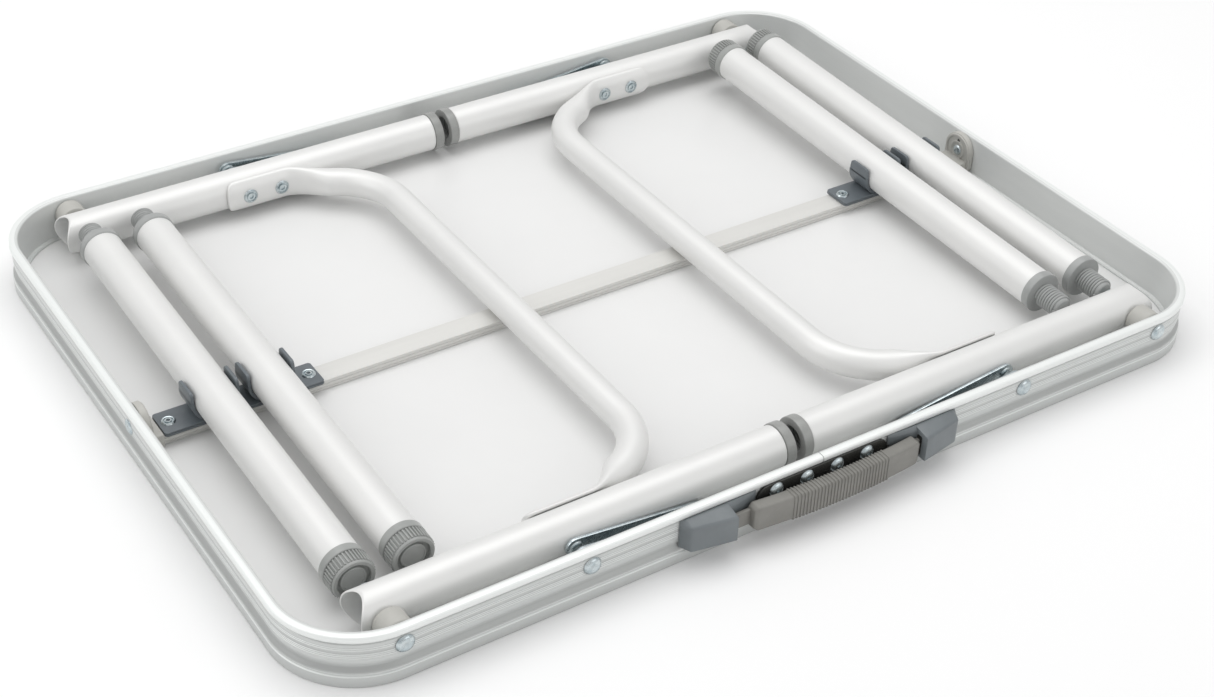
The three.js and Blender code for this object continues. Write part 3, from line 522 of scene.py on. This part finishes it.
def domedHead(radius, height, dish=0.35):
    return [(0, height - dish), (radius * 0.32, height - dish), (radius * 0.42, height - 0.05),
            (radius * 0.62, height * 0.93), (radius * 0.82, height * 0.66), (radius * 0.94, height * 0.34),
            (radius, 0.12), (radius * 0.98, 0), (0, 0)]


def blindHead(radius, core, holeShade=0.5):
    return [(0, 0.7 - holeShade), (core * 0.5, 0.75 - holeShade), (core * 0.6, 1.3), (core, 1.35), (core * 1.08, 0.2),
            (core * 1.32, 0.2), (core * 1.42, 1.1), (radius * 0.82, 1.3), (radius * 0.95, 0.8), (radius, 0.2),
            (radius * 0.97, 0), (0, 0)]


# each part is its profile, its shift along X, how far out its foot is and which way it points along Y
def rivetPiece(name, x, end, profiles, body, replaces):
    parts = []
    for profile, shift, out, way in profiles:
        foot = (x + shift, end * out, axisHeight)
        parts.append(spun(profile, 40, alongAxis(foot, (0, end * way, 0))))
    addPiece(name, parts, "zinc", body, replaces)


rimHead = domedHead(rivetLook["headRadius"], rivetLook["headHeight"])
pinHead = domedHead(5.5, 1.5, 0.2)
blind = blindHead(rivetLook["flangeRadius"], rivetLook["coreRadius"])
for sideName, side in sides.items():
    for endName, end in ends.items():
        spot = f"{sideName}_{endName}"
        rivetPiece(f"pivot_rivet_head_{spot}", side * pivotX, end,
                   [(rimHead, 0, wallOutside, 1), (domedHead(6.8, 1.25, 0.2), 0, legInside - fitGap, -1),
                    (rod(*rivetLook["pivotShank"]), 0, flatOutside, 1)],
                   "tray", [f"pivot_rivet_{spot}"])
        rivetPiece(f"stay_rim_rivet_head_{spot}", side * stayX, end,
                   [(rimHead, 0, wallOutside, 1), (domedHead(6, 1.4, 0.2), 0, rivetLook["innerFace"], -1),
                    (rod(*rivetLook["rimShank"]), 0, rivetLook["innerFace"] - 0.2, 1)],
                   "tray", [f"stay_rim_rivet_{spot}"])
        rivetPiece(f"stay_leg_rivet_head_{spot}", side * stayX, end,
                   [(blind, 0, flatInside, -1), (rod(*rivetLook["legShank"]), 0, flatInside, 1),
                    (pinHead, 0, legLink[1] + 0.1, 1),
                    (blind, -side * rivetLook["secondRivet"], flatInside, -1)],
                   f"{sideName}_legs", [f"stay_leg_rivet_{spot}"])
print("rivets done")


# leg tubes, sockets and spacers
legLook = dict(radius=legRadius, wall=1.5, start=12, tailReach=18.5, edge=0.35, ringGap=60, segments=72)
socketLook = dict(mouth=3.7, threadFoot=4.6, collar=8, collarRadius=17, bore=10.4,
                  sleeveRadius=14.2, sleeve=32)
spacerLook = dict(foot=275.3, radius=12, bore=4.3, length=16.9)


def legTubeParts(side, end):
    r, wall, edge = legLook["radius"], legLook["wall"], legLook["edge"]
    start, reach = legLook["start"], legLook["tailReach"]
    profile = [(r - wall, start, 0), (r - edge, start, 0), (r, start + edge, 0)]
    profile += [(r, start + legLook["ringGap"] * k, 0) for k in range(1, 6)]
    profile += [(r, -edge, 1), (r - edge, 0, 1), (r - wall + edge, 0, 1), (r - wall, -edge, 1)]
    points = []
    segments = legLook["segments"]
    for k in range(segments):
        angle = 2 * math.pi * k / segments
        for radius, x, rounded in profile:
            z = radius * math.sin(angle)
            if rounded:
                x += pivotX + math.sqrt(reach ** 2 - z ** 2)
            points.append(Vector((side * x, end * (legY + radius * math.cos(angle)), axisHeight + z)))
    return [(points, gridFaces(segments, len(profile), True, True))]


def socketProfile():
    look = socketLook
    shoulder = look["mouth"] + look["collar"]
    tail = shoulder + look["sleeve"]
    return fillet([(look["bore"], look["mouth"]), (look["collarRadius"], look["mouth"]),
                   (look["collarRadius"], shoulder), (look["sleeveRadius"], shoulder),
                   (look["sleeveRadius"], tail), (look["bore"], tail)], 0.9, 3)


def spacerProfile():
    bore, radius, length = spacerLook["bore"], spacerLook["radius"], spacerLook["length"]
    return fillet([(bore, 0), (radius, 0), (radius, length - 2), (radius - 1, length - 0.7),
                   (bore, length)], 1.2, 3)


for sideName, side in sides.items():
    for endName, end in ends.items():
        spot = f"{sideName}_{endName}"
        body = f"{sideName}_legs"
        addPiece(f"leg_tube_skin_{spot}", legTubeParts(side, end), "white_tube", body, [f"leg_tube_{spot}"])
        mouth = alongAxis((0, end * legY, axisHeight), (side, 0, 0))
        addPiece(f"leg_socket_collar_{spot}", [spun(socketProfile(), 72, mouth)], "socket_plastic", body,
                 [f"leg_socket_{spot}"])
        inward = Vector((side, 0, 0)).to_track_quat("Z", "Y").to_matrix().to_4x4()
        thread = Matrix.Translation((side * socketLook["threadFoot"], end * legY, axisHeight)) @ inward
        growPiece(f"leg_socket_thread_{spot}", threadTree,
                  dict(Radius=0.0106, Turns=12.0, Length=0.030, Ridge=0.0009), "stud_plastic", body, thread)
        place = alongAxis((side * pivotX, end * spacerLook["foot"], axisHeight), (0, end, 0))
        addPiece(f"pivot_spacer_ring_{spot}", [spun(spacerProfile(), 56, place)], "spacer_plastic", "tray",
                 [f"pivot_spacer_{spot}"])
print("leg tubes, sockets and spacers done")


# cross bars
crossLook = dict(radius=12, baseX=88, bend=60, roundY=230.4, tipX=213, flatTo=160, blendAngle=24,
                 flatHalfAngle=48, edgeSharpness=1.9, around=48, bendSteps=18, blendSteps=20)


def onBend(angle, back):
    look = crossLook
    nx, ny = math.sin(angle), -math.cos(angle)
    x = look["baseX"] + look["bend"] + back - look["bend"] * nx
    return x, look["roundY"] - look["bend"] - look["bend"] * ny, nx, ny


def crossStations():
    look = crossLook
    half = []
    for back, spread in ((0, 0.05), (0.25, 0.34), (0.9, 0.55), (2.0, 0.74), (3.6, 0.88), (6, 0.97),
                         (9, 1), (20, 1), (32, 1), (44, 1)):
        half.append((look["tipX"] - back, look["roundY"], 0, -1, 1.0, spread))
    blend = math.radians(look["blendAngle"])
    straight = look["flatTo"] - look["baseX"] - look["bend"]
    whole = straight + look["bend"] * blend
    for k in range(look["blendSteps"] + 1):
        t = k / look["blendSteps"]
        angle = max(0, (t * whole - straight) / look["bend"])
        half.append((*onBend(angle, max(0, straight - t * whole)), 1 - t * t * (3 - 2 * t), 1))
    for k in range(1, look["bendSteps"] + 1):
        half.append((*onBend(blend + (math.pi / 2 - blend) * k / look["bendSteps"], 0), 0.0, 1))
    for share in (0.75, 0.5, 0.25):
        half.append((look["baseX"], (look["roundY"] - look["bend"]) * share, 1, 0, 0.0, 1))
    other = [(x, -y, nx, -ny, flat, spread) for x, y, nx, ny, flat, spread in half]
    middle = (look["baseX"], 0, 1, 0, 0.0, 1)
    return [(s, 1) for s in half] + [(middle, 1)] + [(s, -1) for s in reversed(other)]


def placeOnCross(station, point):
    (x, y, nx, ny, flat, spread), toBack = station
    u, v = point
    radius = math.hypot(u, v)
    ordinary = Vector((x + nx * u, y + ny * u, axisHeight + v))
    if flat == 0:
        return ordinary
    arc = math.radians(crossLook["flatHalfAngle"]) * spread * v / radius
    middle = legY - (flatInside + flatOutside) / 2
    thick = (flatOutside - flatInside) / 2
    across = u / radius
    r = middle + thick * math.copysign(min(1, abs(across) * crossLook["edgeSharpness"]), across)
    pressed = Vector((x, toBack * (legY - r * math.cos(arc)), axisHeight + r * math.sin(arc)))
    return ordinary.lerp(pressed, flat)


for sideName, side in sides.items():
    count = crossLook["around"]
    section = [(crossLook["radius"] * math.cos(2 * math.pi * k / count),
                crossLook["radius"] * math.sin(2 * math.pi * k / count)) for k in range(count)]
    bar = carried(section, crossStations(), placeOnCross)
    addPiece(f"cross_bar_skin_{sideName}", mirroredParts([bar], side), "white_tube", f"{sideName}_legs",
             [f"cross_bar_{sideName}"], sharp=40)
print("cross bars done")


# stays
stayLook = dict(length=99.7, halfHeight=7.5, droop=6.5, bevel=0.45)
droopAngle = math.radians(stayLook["droop"])


def linkOutline():
    half, length = stayLook["halfHeight"], stayLook["length"]
    level = arcPoints(0, 0, half, -90, 180, 16) + arcPoints(-length, 0, half, 90, 180, 16)
    return [(stayX + u * math.cos(droopAngle) - v * math.sin(droopAngle),
             axisHeight + u * math.sin(droopAngle) + v * math.cos(droopAngle)) for u, v in level]


jointX = stayX - stayLook["length"] * math.cos(droopAngle)
jointZ = axisHeight - stayLook["length"] * math.sin(droopAngle)
for sideName, side in sides.items():
    for endName, end in ends.items():
        spot = f"{sideName}_{endName}"
        inner = prism(linkOutline(), *legLink, "xz", stayLook["bevel"])
        addPiece(f"stay_inner_{spot}", mirroredParts([inner], side, end), "zinc", f"leg_link_{spot}",
                 [f"stay_leg_link_{spot}"])
        outer = prism(linkOutline(), *rimLink, "xz", stayLook["bevel"])
        pinFoot = (side * jointX, end * (legLink[1] + 0.5), jointZ)
        pinTop = (side * jointX, end * rimLink[1], jointZ)
        pin = [spun(rod(3, 8), 24, alongAxis(pinFoot, (0, end, 0))),
               spun(pinHead, 32, alongAxis(pinTop, (0, end, 0)))]
        addPiece(f"stay_outer_{spot}", mirroredParts([outer], side, end) + pin, "zinc", f"rim_link_{spot}",
                 [f"stay_rim_link_{spot}"])
print("stays done")


# centre bar, its end brackets and the clip strips
barLook = dict(half=9.85, bottom=panelTop + fitGap, top=15.0, reach=383.6,
               groove=0.5, grooveHalf=0.45, grooves=(2.1, 5.3))
clipLook = dict(x0=249.3, x1=377.3, half=13.7, corner=1.5, bottom=15.3, thickness=3.0, ledge=1.4,
                bore=legRadius + 0.5, wall=2.6, rise=9.5, clipHalf=12, firstRivet=256.5, rivetStep=113)
bracketEnd = dict(face=387.0, back=392.3, radius=15.8, level=25.4, foot=8.7, blockStart=378.3,
                  boltLevel=25.0, boltSeat=398.8, holeLevel=34.5)
storedX = dict(inner=291.0, outer=335.6)
storedLevel = 34.0


def barOutline():
    half, bottom, depth, width = barLook["half"], barLook["bottom"], barLook["groove"], barLook["grooveHalf"]
    right = [(half, bottom)]
    for rise in barLook["grooves"]:
        level = bottom + rise
        right += [(half, level - width), (half - depth, level - width * 0.4)]
        right += [(half - depth, level + width * 0.4), (half, level + width)]
    right.append((half, barLook["top"]))
    return right + [(-y, z) for y, z in reversed(right)]


# the outer arc is cut off just inside the strip
def clipOutline(x):
    inner = clipLook["bore"]
    outer = inner + clipLook["wall"]
    lip, lowest = storedLevel + 1, clipLook["bottom"] + 0.4
    points = [(x - outer, lip)]
    points += [(u, max(level, lowest)) for u, level in arcPoints(x, storedLevel, outer, 180, 180, 32)]
    points += [(x + outer, lip), (x + inner, lip)]
    points += arcPoints(x, storedLevel, inner, 0, -180, 28)
    points.append((x - inner, lip))
    return points


def clipEar(x, side):
    look = clipLook
    low, high, half = storedLevel - 1, storedLevel + look["rise"], look["clipHalf"]
    outline = fillet([(-half, low), (half, low), (half - 1.2, high), (1.2 - half, high)], 3.2, 5)
    inner, outer = x + side * look["bore"], x + side * (look["bore"] + look["wall"])
    return prism(outline, min(inner, outer), max(inner, outer), "yz", 0.7, 3)


def stripParts():
    look = clipLook
    x0, x1, half, cut = look["x0"], look["x1"], look["half"], look["corner"]
    bottom, step, top = look["bottom"], look["bottom"] + look["ledge"], look["bottom"] + look["thickness"]
    plan = fillet([(x0, cut - half), (x0 + cut, -half), (x1 - cut, -half), (x1, cut - half),
                   (x1, half - cut), (x1 - cut, half), (x0 + cut, half), (x0, half - cut)], 1.2, 3)
    parts = [prism(plan, bottom, step, "xy", 0.25)]
    parts.append(prism([(x, y * 0.97) for x, y in plan], step, top, "xy", 0.4))
    for x in storedX.values():
        parts.append(prism(clipOutline(x), -look["clipHalf"], look["clipHalf"], "xz", 0.35))
        parts += [clipEar(x, -1), clipEar(x, 1)]
    return parts


# an eared plate against the rim's inner face, with a block over the bar's end
def endBracketParts():
    face, level, radius, foot = (bracketEnd[key] for key in ("face", "level", "radius", "foot"))
    ear = arcPoints(0, level, radius, 0, 180, 24)
    ear += [(-radius, foot + 3.8), (2 - radius, foot), (radius - 2, foot), (radius, foot + 3.8)]
    plate = prism(ear, face, bracketEnd["back"], "yz", 0.7, 3)
    blockOutline = fillet([(-13.5, 6.9), (13.5, 6.9), (13.5, 18.5), (-13.5, 18.5)], 1.6, 3)
    block = prism(blockOutline, bracketEnd["blockStart"], face + 0.6, "yz", 0.6, 2)
    toMiddle = alongAxis((face, 0, level), (-1, 0, 0))
    edgeRing = spun(fillet([(12.2, -0.4), (15.1, -0.4), (14.6, 1.0), (12.8, 1.0)], 0.5, 3), 56, toMiddle)
    bossRing = spun(fillet([(5.2, -0.4), (8.8, -0.4), (8.2, 0.9), (6.2, 0.5)], 0.4, 3), 48, toMiddle)
    return [plate, block, edgeRing, bossRing]


addPiece("centre_bar_skin", [prism(barOutline(), -barLook["reach"], barLook["reach"], "yz", 0.25)],
         "bar_metal", "tray", ["centre_bar"], sharp=30)
for sideName, side in sides.items():
    addPiece(f"clip_strip_body_{sideName}", mirroredParts(stripParts(), side), "clip_plastic", "tray",
             [f"clip_strip_{sideName}"])
    top = clipLook["bottom"] + clipLook["thickness"] - 0.05
    growPiece(f"clip_rivets_{sideName}", rowTree,
              dict(Count=2, Start=(0, 0, 0), Step=(clipLook["rivetStep"] * mm * side, 0, 0), Turn=0.0,
                   Seed=3),
              "zinc", "tray", Matrix.Translation((side * clipLook["firstRivet"], 0, top)),
              seedParts=[spun(blindHead(5.6, 2.6, 1.2), 40, alongAxis((0, 0, 0), (0, 0, 1)))])

    addPiece(f"bar_bracket_body_{sideName}", mirroredParts(endBracketParts(), side), "spacer_plastic", "tray",
             [f"bar_bracket_{sideName}"])
    face = side * bracketEnd["face"]
    seat, level = side * bracketEnd["boltSeat"], bracketEnd["boltLevel"]
    bolt = [spun(domedHead(4.6, 1.7, 0.3), 40, alongAxis((face, 0, level), (-side, 0, 0))),
            spun(domedHead(6.2, 1.6, 0.3), 40, alongAxis((seat, 0, level), (side, 0, 0)))]
    addPiece(f"bar_bracket_rivet_{sideName}", bolt, "zinc", "tray")
    # a black disc on the bracket's face as painted shade inside its hole
    holeShade = spun([(0, 0.2), (1.4, 0.2), (1.6, 0.0), (1.6, -1), (0, -1)], 20,
                alongAxis((face, 0, bracketEnd["holeLevel"]), (-side, 0, 0)))
    addPiece(f"bar_bracket_hole_shade_{sideName}", [holeShade], "black_plastic", "tray")
print("centre bar and clips done")


# extension legs
extensionLook = dict(tube=418.5, radius=legRadius, towardStud=3, tilt=1.3,
                     ribs=40, ribFoot=7.6, ribLength=10.2)
studLook = dict(length=24, collar=7.5, threadFoot=9.0)
footLength = 20


# both profiles run outward from the tube's end
def studProfile():
    root = studLook["collar"]
    tip = root + studLook["length"]
    return [(0, -3), (14, -3), (15.6, -0.2), (16.6, 0.35), (17, 0.9), (17, root - 0.8), (16.7, root - 0.2),
            (16.1, root), (11.0, root), (9.0, root + 0.4), (8.2, root + 1.1), (8.2, tip - 1.9),
            (7.2, tip - 0.3), (6.6, tip), (0, tip)]


def footProfile():
    face = footLength
    return [(0, -3), (14, -3), (15.6, -0.2), (16.6, 0.35), (17, 0.9), (17, 6.6), (16.6, 7.1), (15.4, 7.3),
            (15.4, face - 2.0), (15.9, face - 1.8), (15.8, face - 0.8), (15.2, face), (13.1, face),
            (12.6, face - 0.4), (12.5, face - 3.4), (9.9, face - 3.6), (9.7, face - 1.6), (9.2, face - 1.2),
            (8.4, face - 1.2), (8.2, face - 1.7), (0, face - 1.7)]


def extensionLeg(sideName, slotName, x):
    look = extensionLook
    stored = f"stored_leg_{sideName}_{slotName}"
    footBody = f"foot_{sideName}_{slotName}"
    spot = f"{sideName}_{slotName}"
    feetAtBack = sideName == "right"
    turn = Matrix.Rotation(math.pi if feetAtBack else 0, 4, "Z")
    tilt = Matrix.Rotation(math.radians(look["tilt"]), 4, "X")
    offset = (studLook["collar"] + studLook["length"] - footLength) / 2 - look["towardStud"]
    shift = Matrix.Translation((0, offset if feetAtBack else -offset, 0))
    whole = Matrix.Translation((x, 0, storedLevel)) @ tilt @ shift @ turn
    half = look["tube"] / 2
    towardFoot = Matrix.Rotation(math.radians(90), 4, "X")
    towardStud = Matrix.Rotation(math.radians(-90), 4, "X")
    growPiece(f"extension_tube_skin_{spot}", pipeTree,
              dict(Length=look["tube"] * mm, Radius=look["radius"] * mm, Sides=72), "white_tube", stored,
              whole @ Matrix.Translation((0, half, 0)) @ towardFoot, replaces=[f"extension_tube_{spot}"])

    def placeAt(r, a, angle):
        return whole @ Vector((r * math.cos(angle), a, r * math.sin(angle)))

    stud = [(r, half + a) for r, a in studProfile()]
    addPiece(f"extension_stud_body_{spot}", [spun(stud, 64, placeAt)], "stud_plastic", stored,
             [f"extension_stud_{spot}"])
    growPiece(f"extension_stud_thread_{spot}", threadTree,
              dict(Radius=0.0088, Turns=8.0, Length=0.0205, Ridge=0.00115), "stud_plastic", stored,
              whole @ Matrix.Translation((0, half + studLook["threadFoot"], 0)) @ towardStud)

    foot = [(r, -half - a) for r, a in footProfile()]
    addPiece(f"extension_foot_body_{spot}", [spun(foot, 72, placeAt)], "foot_plastic", footBody,
             [f"extension_foot_{spot}"])
    rib = fillet([(-1.1, -0.72), (0.5, -0.5), (0.6, 0), (0.5, 0.5), (-1.1, 0.72)], 0.15, 1)
    toRibs = whole @ Matrix.Translation((0, -half - look["ribFoot"], 0)) @ towardFoot
    growPiece(f"extension_foot_knurl_{spot}", ringTree, dict(Count=look["ribs"], Radius=0.0162),
              "foot_plastic", footBody, toRibs,
              seedParts=[prism(rib, 0, look["ribLength"], "xy", 0.25, 1)])


for sideName, side in sides.items():
    for slotName, x in storedX.items():
        extensionLeg(sideName, slotName, side * x)
print("extension legs done")


# handle
gripLook = dict(half=74, shift=6, endOut=313.2, middleOut=317.4, thickness=10.3, level=21.5, height=20.5,
                round=2.0, ribs=30, ribStep=2.9, neckEnd=96, neckInBody=3)


def gripFace(x):
    share = x / gripLook["half"]
    return -(gripLook["middleOut"] - (gripLook["middleOut"] - gripLook["endOut"]) * share * share)


def gripSection(grow=0.0):
    half, depth = gripLook["height"] / 2 + grow, gripLook["thickness"] + grow
    return fillet([(-grow, -half), (depth, -half), (depth, half), (-grow, half)], gripLook["round"], 4)


def placeOnGrip(station, point):
    x, squeeze = station
    inward, up = point
    middle = gripLook["thickness"] / 2
    return Vector((x + gripLook["shift"], gripFace(x) + middle + (inward - middle) * squeeze,
                   gripLook["level"] + up * squeeze))


gripStations = [(-74.0, 0.74), (-73.7, 0.8), (-71.9, 0.95), (-71.4, 0.985), (-70.6, 1.0)]
gripStations += [(x, 1.0) for x in range(-66, 67, 4)]
gripStations += [(-x, s) for x, s in reversed(gripStations[:5])]
neck = fillet([(-304.5, 15.0), (-307.5, 15.0), (-307.5, 28.0), (-304.5, 28.0)], 0.6, 2)
necks = []
for side in sides.values():
    root = side * (gripLook["half"] - gripLook["neckInBody"]) + gripLook["shift"]
    tip = side * gripLook["neckEnd"] + gripLook["shift"]
    necks.append(prism(neck, min(root, tip), max(root, tip), "yz", 0.3))
addPiece("grip_body", [carried(gripSection(), gripStations, placeOnGrip)] + necks, "grip_plastic", "grip",
         ["handle_grip"], sharp=40)

ribRing = []
for x, grow in ((-0.9, -0.1), (-0.6, 0.6), (0, 0.75), (0.6, 0.6), (0.9, -0.1)):
    ribRing.append([Vector((x, y, z)) for y, z in gripSection(grow - 0.05)])
ribPoints = [p for ring in ribRing for p in ring]
ribFaces = gridFaces(len(ribRing), len(ribRing[0]), False, True)
ribFaces.append(tuple(range(len(ribRing[0])))[::-1])
ribFaces.append(tuple((len(ribRing) - 1) * len(ribRing[0]) + k for k in range(len(ribRing[0]))))
bow = (gripLook["middleOut"] - gripLook["endOut"]) / gripLook["half"] ** 2
first = -(gripLook["ribs"] - 1) / 2 * gripLook["ribStep"]
growPiece("grip_ribs", rowTree,
          dict(Count=gripLook["ribs"], Start=(first * mm, 0, 0), Step=(gripLook["ribStep"] * mm, 0, 0),
               Bow=bow / mm, Turn=0.0, Seed=1),
          "grip_plastic", "grip",
          Matrix.Translation((gripLook["shift"], -gripLook["middleOut"], gripLook["level"])),
          seedParts=[(ribPoints, ribFaces)], sharp=50)

bracketLook = dict(inner=84, outer=123, corner=119, seat=299.3, deep=16.2, shallow=9.7, bottom=12.5, top=36.4,
                   tongueTip=59)


def placeOnBracket(station, point):
    look = bracketLook
    x, depth, shrink = station
    share, z = point
    middle = (look["top"] + look["bottom"]) / 2
    return Vector((x, -look["seat"] - share * depth, middle + (z - middle) * shrink))


def bracketParts():
    look = bracketLook
    low, top, front = look["bottom"], look["top"], look["top"] - 3.6
    section = [(1, low), (0.07, low), (0, low + 5), (0, top), (0.16, top), (0.9, front + 1.2), (1, front)]
    rounded = fillet([(share * look["deep"], z) for share, z in section], 1.3, 4)
    section = [(out / look["deep"], z) for out, z in rounded]
    slope = (look["deep"] - look["shallow"]) / (look["corner"] - look["inner"])
    stations = [(look["inner"], look["deep"] - 0.7, 0.955),
                (look["inner"] + 0.25, look["deep"] - 0.25, 0.985)]
    for step in (0.8, 8, 16, 24, 32):
        stations.append((look["inner"] + step, look["deep"] - slope * step, 1.0))
    corner = look["corner"]
    stations += [(corner - 1, look["shallow"] + 0.1, 0.998), (corner - 0.2, look["shallow"] - 0.3, 0.985),
                 (corner + 0.4, look["shallow"] - 1.2, 0.965), (look["outer"] - 0.4, 1.6, 0.95),
                 (look["outer"], 0.5, 0.93)]
    body = carried(section, stations, placeOnBracket)
    wedge = fillet([(0, 23), (4.2, 23), (4.2, 33.5), (2.2, top), (0, top)], 0.9, 3)
    tip = look["tongueTip"]
    reach = [(tip, 0.17, 0.5), (tip + 1.5, 0.33, 0.7), (66, 0.5, 0.92),
             (74, 0.7, 1.0), (80, 0.9, 1.0), (86, 1.1, 1.0)]

    def placeOnTongue(station, point):
        x, thickness, spread = station
        out, z = point
        return Vector((x, -look["seat"] - out * thickness, top + (z - top) * spread))

    # a thin black sheet across the bracket's inner end: painted shade of the gap around the grip's neck where
    # it goes in
    slotShadeOutline = fillet([(-309.6, 14.8), (-304.4, 14.8), (-304.4, 31.2), (-309.6, 31.2)], 1.0, 3)
    slot = prism(slotShadeOutline, look["inner"] - 0.4, look["inner"] + 0.5, "yz", 0.3)
    return [body, carried(wedge, reach, placeOnTongue)], [slot]


for sideName, side in sides.items():
    solid, slotShadeParts = bracketParts()
    addPiece(f"handle_bracket_body_{sideName}", mirroredParts(solid, side), "bracket_plastic", "tray",
             [f"handle_bracket_{sideName}"])
    # the black sheet is painted shade in the neck's slot
    addPiece(f"handle_bracket_slot_shade_{sideName}", mirroredParts(slotShadeParts, side), "black_plastic", "tray")

plateLook = dict(half=58.5, top=37, bottom=17, front=301.6, screws=4, firstScrew=-42.2, screwStep=26.9,
                 screwLevel=31.0, screwTurn=6.28)


def plateOutline():
    radius = (plateLook["top"] - plateLook["bottom"]) / 2
    middle = plateLook["bottom"] + radius
    reach = plateLook["half"] - radius
    return arcPoints(reach, middle, radius, -90, 180, 16) + arcPoints(-reach, middle, radius, 90, 180, 16)


addPiece("joint_plate_body", [prism(plateOutline(), -plateLook["front"], -wallOutside, "xz", 0.5)],
         "black_plastic", "tray", ["joint_plate"])
screwProfile = [(0, 1.5), (1.1, 1.55), (1.3, 2.5), (2.6, 2.5), (4.0, 2.1), (5.3, 1.25), (5.9, 0.3),
                (5.8, 0), (0, 0)]
growPiece("joint_plate_screws", rowTree,
          dict(Count=plateLook["screws"], Start=(plateLook["firstScrew"] * mm, 0, 0),
               Step=(plateLook["screwStep"] * mm, 0, 0), Turn=plateLook["screwTurn"], Seed=11),
          "zinc", "tray", Matrix.Translation((0, -plateLook["front"], plateLook["screwLevel"])),
          seedParts=[spun(screwProfile, 40, alongAxis((0, 0, 0), (0, -1, 0)))])
print("handle done")


# floor, light and camera
def softLight(name, place, size, power):
    data = bpy.data.lights.new(name, "AREA")
    data.shape = "RECTANGLE"
    data.size, data.size_y = size
    data.energy = power
    lamp = bpy.data.objects.new(name, data)
    lamp.location = place
    lamp.rotation_euler = (-Vector(place)).to_track_quat("-Z", "Y").to_euler()
    bpy.context.collection.objects.link(lamp)


floorMesh = bpy.data.meshes.new("floor")
floorHalf = 9
floorLevel = (footLevel - 0.2) * mm
floorCorners = [(x * floorHalf, y * floorHalf, floorLevel) for x, y in ((-1, -1), (1, -1), (1, 1), (-1, 1))]
floorMesh.from_pydata(floorCorners, [], [(0, 1, 2, 3)])
floor = bpy.data.objects.new("floor", floorMesh)
bpy.context.collection.objects.link(floor)
floorLook = dict(color=(0.93, 0.93, 0.93), shade=(0.925, 0.925, 0.925), metallic=0.0, specular=0.1,
                 roughness=0.8, roughnessSpread=0.05, cloudScale=3, grainScale=200, bump=0.01)
floorMesh.materials.append(finishMaterial("floor_paint", floorLook))

world = bpy.data.worlds.new("studio")
bpy.context.scene.world = world
world.use_nodes = True
world.node_tree.nodes["Background"].inputs["Color"].default_value = (1, 1, 1, 1)
world.node_tree.nodes["Background"].inputs["Strength"].default_value = 0.68
softLight("overhead", (0.2, 0.5, 2.2), (2.4, 1.6), 21.5)
softLight("window side", (-1.9, 0.4, 1.5), (1.2, 1.6), 8.5)
softLight("front fill", (0.9, -2.2, 1.2), (1.8, 1.0), 6)

cameraData = bpy.data.cameras.new("camera")
cameraData.sensor_width = 36
cameraData.lens = 59.22
cameraData.shift_x = 0.005
camera = bpy.data.objects.new("camera", cameraData)
bpy.context.collection.objects.link(camera)
right = Vector((0.84076, -0.54062, 0.02926)).normalized()
ahead = Vector((0.45118, 0.66975, -0.58980)).normalized()
up = right.cross(ahead).normalized()
placed = Matrix((right, up, -ahead)).transposed().to_4x4()
placed.translation = Vector((-0.74581, -1.1203, 0.9303))
camera.matrix_world = placed
bpy.context.scene.camera = camera
bpy.context.scene.view_settings.view_transform = "Standard"
print("floor, light and camera done")
